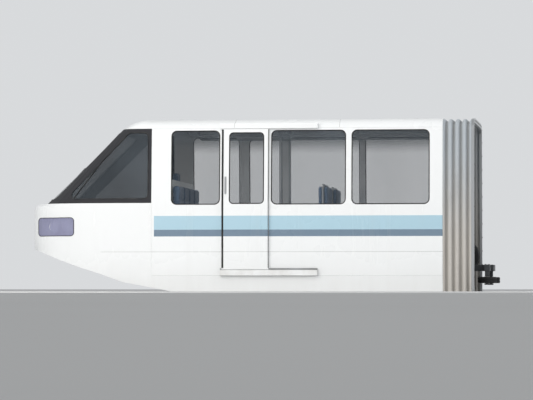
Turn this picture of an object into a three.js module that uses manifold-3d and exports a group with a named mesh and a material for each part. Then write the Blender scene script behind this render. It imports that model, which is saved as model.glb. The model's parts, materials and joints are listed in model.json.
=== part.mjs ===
// Leading cab car of a straddle-beam monorail.
//
// Millimetres, +Z up, +X towards the nose, +Y the car's left side.
// Z = 0 is the running surface on top of the beam, and the origin lies on it midway between the two
// bogie pivots. Inside the group all lengths along the car are measured from the body's rear face,
// and the group moves them to the origin.

import * as THREE from 'three';
import { mergeVertices } from 'three/addons/utils/BufferGeometryUtils.js';
import Module from 'manifold-3d';

const wasm = await Module();
wasm.setup();

// Driving dimensions of the body
const ORIGIN_FROM_REAR = 1600;
const SEAT_GAP = 0.3;
const WALL = 30;
const SKIRT_WALL = 20;
const GLASS = 8;
const GLASS_DEPTH = 9;
const SKIRT_BOTTOM = -240;
const SKIRT_TOP = -40;
const BELT = 880;
const HOOD_BACK = 885;
const ROOF_EDGE = 1825;
const CEILING = 1905;
const NOSE_START = 3695;
const FLOOR_BOTTOM = 70;
const FLOOR_TOP = 100;
const BENCH_BOTTOM = 530;
const BENCH_TOP = 560;
const BIG = 4000;

// Body half width by height
const SIDE_PROFILE = [
  { height: -240, half: 985 },
  { height: -40, half: 1000 },
  { height: 860, half: 1000 },
  { height: 1825, half: 949 },
  { height: 1860, half: 938 },
  { height: 1900, half: 905 },
  { height: 1930, half: 840 },
  { height: 1945, half: 740 },
  { height: 1950, half: 600 },
];

// How far the nose, the windscreen and the roof's front edge reach, and how square their plan is
const FRONT_PROFILE = [
  { height: -240, reach: 5330, square: 3.4 },
  { height: 290, reach: 5335, square: 3.4 },
  { height: 400, reach: 5340, square: 3.4 },
  { height: 780, reach: 5340, square: 3.4 },
  { height: 850, reach: 5325, square: 3.4 },
  { height: 880, reach: 5270, square: 3.4 },
  { height: 885, reach: 5160, square: 3.6 },
  { height: 1825, reach: 4134, square: 4.5 },
  { height: 1860, reach: 4085, square: 4.5 },
  { height: 1900, reach: 4010, square: 4.5 },
  { height: 1930, reach: 3930, square: 4.5 },
  { height: 1945, reach: 3850, square: 4.5 },
  { height: 1950, reach: 3760, square: 4.5 },
];

// Lower edge of the nose and of the skirt behind it, rising towards the front lip
const UNDERSIDE = [
  { x: 3445, z: -240 },
  { x: 3705, z: -190 },
  { x: 4065, z: -120 },
  { x: 4345, z: -20 },
  { x: 4605, z: 60 },
  { x: 4835, z: 140 },
  { x: 5205, z: 280 },
  { x: 5400, z: 300 },
];

// Windows and doors
const PANE_SILL = 858;
const PANE_HEAD = 1795;
const PANE_CORNER = 65;
const LEAF_PANE_CORNER = 50;
const CAB_PANE_CORNER = 60;
const LAMP_CORNER = 45;
const DOOR_BOTTOM = 35;
const DOOR_TOP = 1812;
const DOOR_STANDOFF = 8;
const DOOR_THICK = 30;
const LEAF_GAP = 5;
const LEAF_FRONT_STILE = 97;
const LEAF_REAR_STILE = 62;
const LEAF_OVERLAP = 12;
const LEAF_PANE_SILL = 865;
const LEAF_PANE_HEAD = 1768;
const DOOR_TRAVEL = 600;
const TRACK_OUTER = 46;
const GUIDE_FIN = 8.6;
const GUIDE_SLOT = 10;
const GUIDE_RISE = 18;

// Doorway, and the windows of the panels behind and before it
const DOOR_REAR = 2205;
const DOOR_FRONT = 2780;
const REAR_PANE = [165, 1145];
const MIDDLE_PANE = [1220, 2165];
const FRONT_PANE = [2820, 3440];

// Which way is out on each side
const SIDES = [
  { name: 'left', out: 1 },
  { name: 'right', out: -1 },
];

// Running gear
const LOAD_RADIUS = 210;
const GUIDE_RADIUS = 120;
const GUIDE_HALF = 40;
const BEAM_HALF = 350;
const GUIDE_Y = BEAM_HALF + GUIDE_RADIUS + 2;
const GUIDE_X = 330;
const GUIDE_Z = -95;
const STABILISER_Z = -175;
const STEM = 20;
const BORE = 20.8;
const AXLE = 30;
const AXLE_BORE = 30.9;
const KINGPIN = 35;
const KINGPIN_BORE = 35.9;
const RAIL_INNER = 700;
const RAIL_OUTER = 760;
const RAIL_BOTTOM = -40;
const BOLSTER_BOTTOM = 466;
const BOLSTER_TOP = 525;
const YOKE_TOP = 465.5;
const BOGIES = [
  { name: 'front', x: 3400 },
  { name: 'rear', x: -200 },
];

// Gangway bellows
const BELLOWS_LENGTH = 360;
const BELLOWS_FOLDS = 4;
const BELLOWS_FOLD_DEPTH = 42;
const BELLOWS_WALL = 8;
const BELLOWS_INSET = 8;
const RING_THICK = 34;
const RING_INSET = 4;
const RING_BAR = 60;

const WHITE = { color: 0xf2f4f5, roughness: 0.35, metalness: 0.0 };
const DARK_TRIM = { color: 0x24272b, roughness: 0.5, metalness: 0.0 };
const GLAZING = { color: 0x3b444c, roughness: 0.08, metalness: 0.0, transparent: true, opacity: 0.45 };
const STEEL = { color: 0x4b4f54, roughness: 0.6, metalness: 0.5 };
const ALUMINIUM = { color: 0xb9bdc0, roughness: 0.4, metalness: 0.9 };
const TYRE = { color: 0x1d1d1e, roughness: 0.85, metalness: 0.0 };
const FLOORING = { color: 0x5a5d60, roughness: 0.8, metalness: 0.0 };
const UPHOLSTERY = { color: 0x4a5a6d, roughness: 0.9, metalness: 0.0 };
const PLEATED = { color: 0xb4b2af, roughness: 0.8, metalness: 0.0 };
const LENS = { color: 0x8688a8, roughness: 0.15, metalness: 0.0 };

const car = new THREE.Group();
car.position.x = -ORIGIN_FROM_REAR;

// Solids

function toSolid(geometry) {
  const bare = geometry.clone();
  for (const name of Object.keys(bare.attributes)) {
    if (name !== 'position') {
      bare.deleteAttribute(name);
    }
  }
  const merged = mergeVertices(bare, 1e-4);
  const index = merged.index.array;
  const triangles = [];
  for (let i = 0; i < index.length; i += 3) {
    const [a, b, c] = [index[i], index[i + 1], index[i + 2]];
    if (a !== b && b !== c && c !== a) {
      triangles.push(a, b, c);
    }
  }
  return closedSolid(Float32Array.from(merged.attributes.position.array), triangles);
}

function closedSolid(vertProperties, triangles) {
  const build = (order) => {
    const triVerts = Uint32Array.from(order);
    return new wasm.Manifold(new wasm.Mesh({ numProp: 3, vertProperties, triVerts }));
  };
  const solid = build(triangles);
  if (solid.volume() > 0) {
    return solid;
  }
  const turned = [];
  for (let i = 0; i < triangles.length; i += 3) {
    turned.push(triangles[i], triangles[i + 2], triangles[i + 1]);
  }
  return build(turned);
}

function box(x0, x1, y0, y1, z0, z1) {
  const geometry = new THREE.BoxGeometry(x1 - x0, y1 - y0, z1 - z0);
  geometry.translate((x0 + x1) / 2, (y0 + y1) / 2, (z0 + z1) / 2);
  return toSolid(geometry);
}

// The same outline with each corner turned into an arc; its points run one way round
function rounded(points, radius, steps = 5) {
  const outline = [];
  points.forEach((corner, i) => {
    const here = new THREE.Vector2(...corner);
    const before = new THREE.Vector2(...points.at(i - 1)).sub(here).normalize();
    const after = new THREE.Vector2(...points[(i + 1) % points.length]).sub(here).normalize();
    const half = Math.acos(before.dot(after)) / 2;
    const middle = before.clone().add(after).normalize().multiplyScalar(radius / Math.sin(half)).add(here);
    const start = before.clone().multiplyScalar(radius / Math.tan(half)).add(here).sub(middle);
    const end = after.clone().multiplyScalar(radius / Math.tan(half)).add(here).sub(middle);
    const sweep = Math.atan2(start.cross(end), start.dot(end));
    for (let step = 0; step <= steps; step += 1) {
      const point = start.clone().rotateAround(new THREE.Vector2(0, 0), (sweep * step) / steps).add(middle);
      outline.push([point.x, point.y]);
    }
  });
  return outline;
}

// A rounded rectangle cut or kept on one side of the car, as wide as the body
function sideOpening(out, x0, x1, z0, z1, corner) {
  const outline = rounded([[x0, z0], [x1, z0], [x1, z1], [x0, z1]], corner);
  return out > 0 ? alongY(outline, 0, BIG) : alongY(outline, -BIG, 0);
}

// A box on one side of the car, given by distances from the centre line
function sideBox(out, x0, x1, near, far, z0, z1) {
  return out > 0 ? box(x0, x1, near, far, z0, z1) : box(x0, x1, -far, -near, z0, z1);
}

function extruded(points, depth) {
  const shape = new THREE.Shape(points.map(([u, v]) => new THREE.Vector2(u, v)));
  return new THREE.ExtrudeGeometry(shape, { depth, bevelEnabled: false });
}

// Outline points are [y, z]
function alongX(points, x0, x1) {
  const geometry = extruded(points, x1 - x0);
  geometry.applyMatrix4(new THREE.Matrix4().set(0, 0, 1, x0, 1, 0, 0, 0, 0, 1, 0, 0, 0, 0, 0, 1));
  return toSolid(geometry);
}

// Outline points are [x, z]
function alongY(points, y0, y1) {
  const geometry = extruded(points, y1 - y0);
  geometry.rotateX(Math.PI / 2);
  geometry.translate(0, y1, 0);
  return toSolid(geometry);
}

// A closed profile of [radius, height] turned about an upright axis or an axle across the car
function turned(profile, segments, axis, x, y, z) {
  const points = profile.map(([radius, height]) => new THREE.Vector2(radius, height));
  const geometry = new THREE.LatheGeometry(points, segments);
  if (axis === 'z') {
    geometry.rotateX(Math.PI / 2);
  }
  geometry.translate(x, y, z);
  return toSolid(geometry);
}

function post(radius, x, y, z0, z1, segments = 16) {
  return turned([[0, 0], [radius, 0], [radius, z1 - z0], [0, z1 - z0]], segments, 'z', x, y, z0);
}

function rod(radius, x, z, y0, y1, segments = 24) {
  return turned([[0, 0], [radius, 0], [radius, y1 - y0], [0, y1 - y0]], segments, 'y', x, y0, z);
}

// Rings of points with equal counts, joined one after another and closed at both ends
function loft(rings) {
  const vertices = [];
  const triangles = [];
  const count = rings[0].length;
  for (const ring of rings) {
    for (const point of ring) {
      vertices.push(...point);
    }
  }
  for (let level = 0; level + 1 < rings.length; level += 1) {
    for (let i = 0; i < count; i += 1) {
      const a = level * count + i;
      const b = level * count + (i + 1) % count;
      triangles.push(a, b, b + count, a, b + count, a + count);
    }
  }
  const last = (rings.length - 1) * count;
  for (let i = 1; i + 1 < count; i += 1) {
    triangles.push(0, i + 1, i, last, last + i, last + i + 1);
  }
  return closedSolid(Float32Array.from(vertices), triangles);
}

// A sheet with thickness, from two grids of points that face each other
function sheet(outer, inner) {
  const rows = outer.length;
  const columns = outer[0].length;
  const vertices = [...outer.flat(2), ...inner.flat(2)];
  const near = (row, column) => row * columns + column;
  const far = (row, column) => rows * columns + near(row, column);
  const triangles = [];
  const quad = (a, b, c, d) => triangles.push(a, b, c, a, c, d);
  for (let row = 0; row + 1 < rows; row += 1) {
    for (let column = 0; column + 1 < columns; column += 1) {
      quad(near(row, column), near(row, column + 1), near(row + 1, column + 1), near(row + 1, column));
      quad(far(row, column), far(row + 1, column), far(row + 1, column + 1), far(row, column + 1));
    }
    quad(near(row, 0), near(row + 1, 0), far(row + 1, 0), far(row, 0));
    quad(near(row + 1, columns - 1), near(row, columns - 1), far(row, columns - 1), far(row + 1, columns - 1));
  }
  for (let column = 0; column + 1 < columns; column += 1) {
    quad(near(0, column + 1), near(0, column), far(0, column), far(0, column + 1));
    quad(near(rows - 1, column), near(rows - 1, column + 1), far(rows - 1, column + 1), far(rows - 1, column));
  }
  return closedSolid(Float32Array.from(vertices), triangles);
}

function joined(solids) {
  return solids.reduce((whole, solid) => whole.add(solid));
}

function addNode(name, solid, look) {
  const mesh = solid.getMesh();
  const stride = mesh.numProp;
  const positions = new Float32Array((mesh.vertProperties.length / stride) * 3);
  for (let i = 0; i < positions.length / 3; i += 1) {
    for (let axis = 0; axis < 3; axis += 1) {
      positions[i * 3 + axis] = mesh.vertProperties[i * stride + axis];
    }
  }
  const geometry = new THREE.BufferGeometry();
  geometry.setAttribute('position', new THREE.BufferAttribute(positions, 3));
  geometry.setIndex(new THREE.BufferAttribute(Uint32Array.from(mesh.triVerts), 1));
  geometry.computeVertexNormals();
  const node = new THREE.Mesh(geometry, new THREE.MeshStandardMaterial(look));
  node.name = name;
  car.add(node);
}

// Body outlines

function interpolated(table, height, key) {
  const above = table.findIndex((row) => row.height >= height);
  if (above <= 0) {
    return table[above === 0 ? 0 : table.length - 1][key];
  }
  const [low, high] = [table[above - 1], table[above]];
  const share = (height - low.height) / (high.height - low.height);
  return low[key] + share * (high[key] - low[key]);
}

const halfWidth = (height) => interpolated(SIDE_PROFILE, height, 'half');

// Plan of the cab at one height: a rounded front between two straight rear corners
const PLAN_STEPS = 26;
function cabPlan(height, inset) {
  const half = halfWidth(height) - inset;
  const length = interpolated(FRONT_PROFILE, height, 'reach') - inset - NOSE_START;
  const power = 2 / interpolated(FRONT_PROFILE, height, 'square');
  const ring = [];
  for (let step = 0; step <= PLAN_STEPS; step += 1) {
    const angle = (Math.PI * step) / PLAN_STEPS;
    const across = Math.cos(angle);
    const y = half * Math.sign(across) * Math.abs(across) ** power;
    const x = NOSE_START + length * Math.max(Math.sin(angle), 0) ** power;
    ring.push([x, Math.abs(y) < 1e-6 ? 0 : y, height]);
  }
  ring[0][0] = NOSE_START;
  ring[PLAN_STEPS][0] = NOSE_START;
  return ring;
}

// The cab and the straight body behind it as one filled volume between two heights
function bodyVolume(inset, bottom, top, rear = 0) {
  const heights = new Set([bottom, top]);
  for (const row of [...SIDE_PROFILE, ...FRONT_PROFILE]) {
    if (row.height > bottom && row.height < top) {
      heights.add(row.height);
    }
  }
  const levels = [...heights].sort((a, b) => a - b);
  const cab = loft(levels.map((height) => cabPlan(height, inset)));
  const flank = levels.map((height) => [halfWidth(height) - inset, height]);
  const section = [...flank, ...flank.map(([y, z]) => [-y, z]).reverse()];
  return cab.add(alongX(section, rear, NOSE_START));
}

const under = [...UNDERSIDE.map(({ x, z }) => [x, z]), [5400, -BIG], [3445, -BIG]];
const belowNose = alongY(under, -BIG, BIG);

const outerBody = bodyVolume(0, SKIRT_BOTTOM, 1950);
const innerBody = bodyVolume(WALL, -BIG, CEILING, -WALL);
const shell = outerBody.subtract(innerBody);

function shellPart(x0, x1, y0, y1, z0, z1) {
  return shell.intersect(box(x0, x1, y0, y1, z0, z1));
}

// A wall strip that follows the body's side, between two distances out from its outer face
function sideStrip(out, x0, x1, z0, z1, near, far) {
  const heights = [z0, ...SIDE_PROFILE.map((row) => row.height).filter((h) => h > z0 && h < z1), z1];
  const inside = heights.map((height) => [out * (halfWidth(height) + near), height]);
  const outside = heights.map((height) => [out * (halfWidth(height) + far), height]).reverse();
  return alongX([...inside, ...outside], x0, x1);
}

// Sides: fixed panels with their windows, sliding door leaves, door rails and skirts

function sidePanel(side, x0, x1, panes) {
  const panel = side.out > 0
    ? shellPart(x0, x1, 0, BIG, SKIRT_TOP + SEAT_GAP, ROOF_EDGE)
    : shellPart(x0, x1, -BIG, 0, SKIRT_TOP + SEAT_GAP, ROOF_EDGE);
  const openings = panes.map(([pane0, pane1]) => (
    sideOpening(side.out, pane0, pane1, PANE_SILL, PANE_HEAD, PANE_CORNER)));
  return openings.reduce((rest, opening) => rest.subtract(opening), panel);
}

function sidePane(side, [pane0, pane1]) {
  const [x0, x1] = [pane0 + SEAT_GAP, pane1 - SEAT_GAP];
  const [z0, z1] = [PANE_SILL + SEAT_GAP, PANE_HEAD - SEAT_GAP];
  const pane = sideStrip(side.out, x0, x1, z0, z1, -GLASS_DEPTH - GLASS, -GLASS_DEPTH);
  return pane.intersect(sideOpening(side.out, x0, x1, z0, z1, PANE_CORNER - SEAT_GAP));
}

function doorLeaf(side, x0, x1, pane0, pane1) {
  const inner = DOOR_STANDOFF;
  const outer = DOOR_STANDOFF + DOOR_THICK;
  const middle = (inner + outer) / 2;
  const plate = sideStrip(side.out, x0, x1, DOOR_BOTTOM, DOOR_TOP, inner, outer);
  const opening = sideOpening(side.out, pane0, pane1, LEAF_PANE_SILL, LEAF_PANE_HEAD, LEAF_PANE_CORNER);
  const slotY = halfWidth(DOOR_BOTTOM) + middle;
  const slot = sideBox(side.out, x0 - 1, x1 + 1, slotY - GUIDE_SLOT / 2, slotY + GUIDE_SLOT / 2,
    DOOR_BOTTOM - 1, DOOR_BOTTOM + GUIDE_RISE + 4);
  const tongueY = halfWidth(ROOF_EDGE) + middle;
  const tongue = sideBox(side.out, x0, x1, tongueY - GUIDE_FIN / 2, tongueY + GUIDE_FIN / 2,
    DOOR_TOP - 2, DOOR_TOP + 36);
  return plate.subtract(opening).subtract(slot).add(tongue);
}

function doorPane(side, pane0, pane1) {
  const [x0, x1] = [pane0 + SEAT_GAP, pane1 - SEAT_GAP];
  const [z0, z1] = [LEAF_PANE_SILL + SEAT_GAP, LEAF_PANE_HEAD - SEAT_GAP];
  const outer = DOOR_STANDOFF + DOOR_THICK - GLASS_DEPTH;
  const pane = sideStrip(side.out, x0, x1, z0, z1, outer - GLASS, outer);
  return pane.intersect(sideOpening(side.out, x0, x1, z0, z1, LEAF_PANE_CORNER - SEAT_GAP));
}

function doorSill(side, x0, x1) {
  const top = DOOR_BOTTOM - LEAF_GAP;
  const middle = halfWidth(DOOR_BOTTOM) + DOOR_STANDOFF + DOOR_THICK / 2;
  const track = sideBox(side.out, x0, x1, halfWidth(0) + SEAT_GAP, halfWidth(0) + TRACK_OUTER,
    SKIRT_TOP + SEAT_GAP, top);
  const step = sideBox(side.out, DOOR_REAR + SEAT_GAP, DOOR_FRONT - SEAT_GAP,
    halfWidth(0) - WALL, halfWidth(0) + 10, SKIRT_TOP + SEAT_GAP, top);
  const fin = sideBox(side.out, x0, x1, middle - GUIDE_FIN / 2, middle + GUIDE_FIN / 2,
    top - 2, DOOR_BOTTOM + GUIDE_RISE);
  return joined([track, step, fin]);
}

function doorHeadRail(side, x0, x1) {
  const middle = halfWidth(ROOF_EDGE) + DOOR_STANDOFF + DOOR_THICK / 2;
  const [bottom, top] = [DOOR_TOP + LEAF_GAP, DOOR_TOP + 73];
  const cover = sideBox(side.out, x0, x1, 850, halfWidth(ROOF_EDGE) + TRACK_OUTER, bottom, top);
  const slot = sideBox(side.out, x0 - 1, x1 + 1, middle - GUIDE_SLOT / 2, middle + GUIDE_SLOT / 2,
    bottom - 1, DOOR_TOP + 42);
  const lowRoof = bodyVolume(-SEAT_GAP, SKIRT_BOTTOM, 1949);
  return cover.subtract(slot).subtract(lowRoof);
}

for (const side of SIDES) {
  addNode(`${side.name}_rear_side_panel`, sidePanel(side, 0, DOOR_REAR, [REAR_PANE, MIDDLE_PANE]), WHITE);
  addNode(`${side.name}_front_side_panel`,
    sidePanel(side, DOOR_FRONT, NOSE_START - SEAT_GAP, [FRONT_PANE]), WHITE);
  addNode(`${side.name}_rear_window`, sidePane(side, REAR_PANE), GLAZING);
  addNode(`${side.name}_middle_window`, sidePane(side, MIDDLE_PANE), GLAZING);
  addNode(`${side.name}_front_window`, sidePane(side, FRONT_PANE), GLAZING);

  const [leafRear, leafFront] = [DOOR_REAR - LEAF_OVERLAP, DOOR_FRONT + LEAF_OVERLAP];
  const [pane0, pane1] = [leafRear + LEAF_REAR_STILE, leafFront - LEAF_FRONT_STILE];
  addNode(`${side.name}_door_leaf`, doorLeaf(side, leafRear, leafFront, pane0, pane1), WHITE);
  addNode(`${side.name}_door_pane`, doorPane(side, pane0, pane1), GLAZING);

  const [track0, track1] = [leafRear - DOOR_TRAVEL - 20, leafFront + 20];
  addNode(`${side.name}_door_sill`, doorSill(side, track0, track1), ALUMINIUM);
  addNode(`${side.name}_door_head_rail`, doorHeadRail(side, track0, track1), WHITE);

  const skirt = sideStrip(side.out, 0, NOSE_START - SEAT_GAP, SKIRT_BOTTOM, SKIRT_TOP, -SKIRT_WALL, 0);
  addNode(`${side.name}_skirt`, skirt.subtract(belowNose), WHITE);
}

// Roof and rear bulkhead

addNode('roof', shellPart(0, BIG * 2, -BIG, BIG, ROOF_EDGE + SEAT_GAP, BIG), WHITE);

const bulkhead = bodyVolume(WALL + SEAT_GAP, BENCH_TOP + SEAT_GAP, CEILING - SEAT_GAP);
addNode('rear_bulkhead', bulkhead.intersect(box(0, WALL, -BIG, BIG, 0, BIG)), WHITE);

// Nose moulding: side walls down to the rising lower edge, closed in front by a sloping apron

const APRON_THICK = 35;
const DECK_THICK = 25;
const DECK_RIM = 12;
const lampHeights = [465, 700];
const lampRear = 4700;
const lampFront = 5215;
const apron = alongY([
  [4520, FLOOR_BOTTOM], [4605, 60 + APRON_THICK], [4835, 140 + APRON_THICK], [5205, 280 + APRON_THICK],
  [5400, 300 + APRON_THICK], [5400, -BIG], [4520, -BIG],
], -BIG, BIG);
const noseOuter = bodyVolume(0, SKIRT_BOTTOM, BELT).intersect(box(NOSE_START, BIG * 2, -BIG, BIG, -BIG, BIG));
const noseInner = bodyVolume(WALL, -BIG, BELT - DECK_THICK).subtract(apron);
const noseWall = noseOuter.subtract(belowNose).subtract(noseInner);

// The deck under the windscreen's foot is open towards the cab
const deckPlan = cabPlan(HOOD_BACK, WALL + DECK_RIM);
const deckOpening = loft([BELT - 2 * DECK_THICK, BELT + DECK_THICK].map((z) => deckPlan.map(([x, y]) => [x, y, z])));

function lampOpening(out, gap) {
  const [bottom, top] = [lampHeights[0] + gap, lampHeights[1] - gap];
  const outline = rounded([
    [lampRear + gap, bottom], [lampFront - gap, bottom], [lampFront - gap, top], [lampRear + gap, top],
  ], LAMP_CORNER - gap);
  const inner = 500 + gap;
  return out > 0 ? alongY(outline, inner, BIG) : alongY(outline, -BIG, -inner);
}

let nose = noseWall.subtract(deckOpening);
for (const side of SIDES) {
  nose = nose.subtract(lampOpening(side.out, 0));
  addNode(`${side.name}_headlamp`, shell.intersect(lampOpening(side.out, SEAT_GAP)), LENS);
}
addNode('nose_shell', nose, WHITE);

// Cab glazing: one slim frame from the nose to the roof, the windscreen and two quarter panes

const FRAME_BAR = 45;
const glassBottom = HOOD_BACK + FRAME_BAR;
const glassTop = ROOF_EDGE - FRAME_BAR;
const SCREEN_HALF_FOOT = 690;
const SCREEN_HALF_HEAD = 680;
const SCREEN_REAR = 3990;
const SCREEN_FRONT = 5400;
const screenOpening = (gap) => alongX(rounded([
  [-SCREEN_HALF_FOOT + gap, glassBottom + gap], [SCREEN_HALF_FOOT - gap, glassBottom + gap],
  [SCREEN_HALF_HEAD - gap, glassTop - gap], [-SCREEN_HALF_HEAD + gap, glassTop - gap],
], CAB_PANE_CORNER - gap), SCREEN_REAR, SCREEN_FRONT);
const quarterSide = (gap) => rounded([
  [NOSE_START + 40 + gap, glassBottom + gap], [4830 - 3 * gap, glassBottom + gap],
  [3985 - gap, glassTop - gap], [NOSE_START + 40 + gap, glassTop - gap],
], CAB_PANE_CORNER - gap);
const cabRing = shell.intersect(box(NOSE_START, BIG * 2, -BIG, BIG, HOOD_BACK - 5 + SEAT_GAP, ROOF_EDGE));
const cabGlass = bodyVolume(GLASS_DEPTH, BELT, ROOF_EDGE + 20).subtract(bodyVolume(GLASS_DEPTH + GLASS, 800, CEILING));
const quarters = {
  left: (gap) => alongY(quarterSide(gap), 300, BIG),
  right: (gap) => alongY(quarterSide(gap), -BIG, -300),
};
addNode('cab_window_frame',
  cabRing.subtract(screenOpening(0)).subtract(quarters.left(0)).subtract(quarters.right(0)), DARK_TRIM);
addNode('windscreen', cabGlass.intersect(screenOpening(SEAT_GAP)), GLAZING);
addNode('left_quarter_glass', cabGlass.intersect(quarters.left(SEAT_GAP)), GLAZING);
addNode('right_quarter_glass', cabGlass.intersect(quarters.right(SEAT_GAP)), GLAZING);

// Underframe: a sole bar with outriggers on each side, and a bolster over each bogie

const OUTRIGGERS = [60, 640, 1300, 1960, 2620, 3000, 3600, 3960, 4420];
const FLOOR_RIBS = [640, 1300, 1960, 2620, 3960, 4420];
const MEMBER = 60;
const BOLSTER_WIDE = 120;
const ARM_HALF = 110;
const REAR_BOLSTER_X = 80;
const RAIL_REAR = 40;
const RAIL_FRONT = 4480;
const RIB_BOTTOM = 25;
const HANGER = 25;
const HANGER_DROP = 90;
const KINGPIN_REACH = 24;
const frameTop = FLOOR_BOTTOM - SEAT_GAP;
const frameHalf = halfWidth(0) - WALL - SEAT_GAP;

const inBody = bodyVolume(WALL + SEAT_GAP, -BIG, CEILING, BOGIES[1].x - ARM_HALF).subtract(belowNose);

function soleBar(out) {
  const pieces = [sideBox(out, RAIL_REAR, RAIL_FRONT, RAIL_INNER, RAIL_OUTER, RAIL_BOTTOM, frameTop)];
  for (const x of OUTRIGGERS) {
    pieces.push(sideBox(out, x, x + MEMBER, RAIL_OUTER - 5, frameHalf, RAIL_BOTTOM, frameTop));
    pieces.push(sideBox(out, x, x + MEMBER, frameHalf - HANGER, frameHalf, RAIL_BOTTOM - HANGER_DROP, frameTop));
  }
  return joined(pieces).intersect(inBody);
}
for (const side of SIDES) {
  addNode(`${side.name}_sole_bar`, soleBar(side.out), STEEL);
}

// A bolster: a portal that stands on the sole bars over a bogie, with the kingpin under it
function bolster(x, bogie, extra) {
  const foot = frameTop + SEAT_GAP;
  const legs = SIDES.map(({ out }) => (
    sideBox(out, x, x + BOLSTER_WIDE, RAIL_INNER, RAIL_OUTER, foot, BOLSTER_TOP)));
  const beam = box(x, x + BOLSTER_WIDE, -RAIL_OUTER, RAIL_OUTER, BOLSTER_BOTTOM, BOLSTER_TOP);
  const kingpin = post(KINGPIN, bogie.x, 0, YOKE_TOP - KINGPIN_REACH, BOLSTER_BOTTOM + 5, 24);
  return joined([beam, ...legs, ...extra, kingpin]);
}
const arm = box(BOGIES[1].x - ARM_HALF, REAR_BOLSTER_X + 5, -ARM_HALF, ARM_HALF, BOLSTER_BOTTOM, BOLSTER_TOP);
addNode('front_bolster', bolster(BOGIES[0].x - BOLSTER_WIDE / 2, BOGIES[0], []), STEEL);
addNode('rear_bolster', bolster(REAR_BOLSTER_X, BOGIES[1], [arm]), STEEL);

// Floor pan, one stepped sheet: rear bench box, passenger floor, front bench box over the bogie, cab floor

const REAR_BOX_FRONT = 560;
const FRONT_BOX_REAR = 2880;
const FRONT_BOX_FRONT = 3920;
const CAB_FLOOR_FRONT = 4500;
const SHEET = FLOOR_TOP - FLOOR_BOTTOM;
const panTop = [
  [0, BENCH_TOP], [REAR_BOX_FRONT, BENCH_TOP], [REAR_BOX_FRONT, FLOOR_TOP], [FRONT_BOX_REAR, FLOOR_TOP],
  [FRONT_BOX_REAR, BENCH_TOP], [FRONT_BOX_FRONT, BENCH_TOP], [FRONT_BOX_FRONT, FLOOR_TOP],
  [CAB_FLOOR_FRONT, FLOOR_TOP],
];
const panBottom = [
  [CAB_FLOOR_FRONT, FLOOR_BOTTOM], [FRONT_BOX_FRONT - SHEET, FLOOR_BOTTOM],
  [FRONT_BOX_FRONT - SHEET, BENCH_BOTTOM], [FRONT_BOX_REAR + SHEET, BENCH_BOTTOM],
  [FRONT_BOX_REAR + SHEET, FLOOR_BOTTOM], [REAR_BOX_FRONT - SHEET, FLOOR_BOTTOM],
  [REAR_BOX_FRONT - SHEET, BENCH_BOTTOM], [0, BENCH_BOTTOM],
];
const pan = alongY([...panTop, ...panBottom], -frameHalf, frameHalf);
const ribHalf = RAIL_INNER - SEAT_GAP;
const ribs = FLOOR_RIBS.map((x) => box(x, x + MEMBER, -ribHalf, ribHalf, RIB_BOTTOM, FLOOR_BOTTOM + 5));
addNode('floor_pan', joined([pan, ...ribs]).intersect(bodyVolume(WALL + SEAT_GAP, -BIG, 1900)), FLOORING);

// Seats, partition, driver's seat and console

const SEAT_HALF = 900;
const CUSHION_TOP = BENCH_TOP + 85;
const SQUAB_TOP = 1120;
const SEAT_FOOT = BENCH_TOP + SEAT_GAP;
const PARTITION_X = 3445;
addNode('rear_bench', joined([
  box(135, 585, -SEAT_HALF, SEAT_HALF, SEAT_FOOT, CUSHION_TOP),
  box(WALL + SEAT_GAP, 140, -SEAT_HALF, SEAT_HALF, BENCH_TOP + 2, SQUAB_TOP),
]), UPHOLSTERY);
addNode('front_bench', joined([
  box(2860, 3345, -SEAT_HALF, SEAT_HALF, SEAT_FOOT, CUSHION_TOP),
  box(3340, PARTITION_X, -SEAT_HALF, SEAT_HALF, BENCH_TOP + 2, SQUAB_TOP),
]), UPHOLSTERY);

// Middle benches, back to back on a plinth on each side of the aisle
const AISLE_HALF = 250;
const PLINTH = [1085, 1955];
const MIDDLE_SEATS = [1035, 2005];
const MIDDLE_BACKS = [1460, 1580];
for (const side of SIDES) {
  addNode(`${side.name}_middle_bench`, joined([
    sideBox(side.out, ...PLINTH, AISLE_HALF + 30, SEAT_HALF - 20, FLOOR_TOP + SEAT_GAP, BENCH_TOP + 5),
    sideBox(side.out, ...MIDDLE_SEATS, AISLE_HALF, SEAT_HALF, BENCH_TOP, CUSHION_TOP),
    sideBox(side.out, ...MIDDLE_BACKS, AISLE_HALF, SEAT_HALF, BENCH_TOP + 2, SQUAB_TOP),
  ]), UPHOLSTERY);
}
addNode('cab_partition', box(PARTITION_X + SEAT_GAP, PARTITION_X + 25, -920, 920, SEAT_FOOT, 1180), WHITE);
addNode('driver_seat', joined([
  box(3620, 3880, -160, 160, SEAT_FOOT, BENCH_TOP + 60),
  box(3500, 3930, -240, 240, BENCH_TOP + 55, BENCH_TOP + 150),
  box(3480, 3570, -230, 230, BENCH_TOP + 100, 1300),
]), UPHOLSTERY);
const consoleSide = [
  [4455, FLOOR_TOP + SEAT_GAP], [4500, FLOOR_TOP + SEAT_GAP], [4620, 145], [4790, 200], [5000, 420],
  [5050, 840], [4600, 860], [4470, 790], [4560, 560],
];
addNode('console', alongY(consoleSide, -680, 680), DARK_TRIM);

// Bogies: a yoke over the twin load wheels, a base frame, and stems for the wheels at the beam's flanks

const YOKE_LEG_INNER = 165;
const YOKE_LEG_OUTER = 195;
const BASE_BOTTOM = 20;
const BASE_TOP = 100;
const BASE_HALF_LENGTH = 400;
const HUB_COLLAR = 34;
const ARM_SQUARE = 28;

function guideWheel(x, y, z) {
  const half = GUIDE_HALF;
  const profile = [
    [BORE, -half - 6], [34, -half - 6], [44, -half + 14], [76, -half], [112, -half],
    [GUIDE_RADIUS, -half + 9], [GUIDE_RADIUS, half - 9], [112, half], [76, half],
    [44, half - 14], [34, half + 6], [BORE, half + 6], [BORE, -half - 6],
  ];
  return turned(profile, 20, 'z', x, y, z);
}

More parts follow.
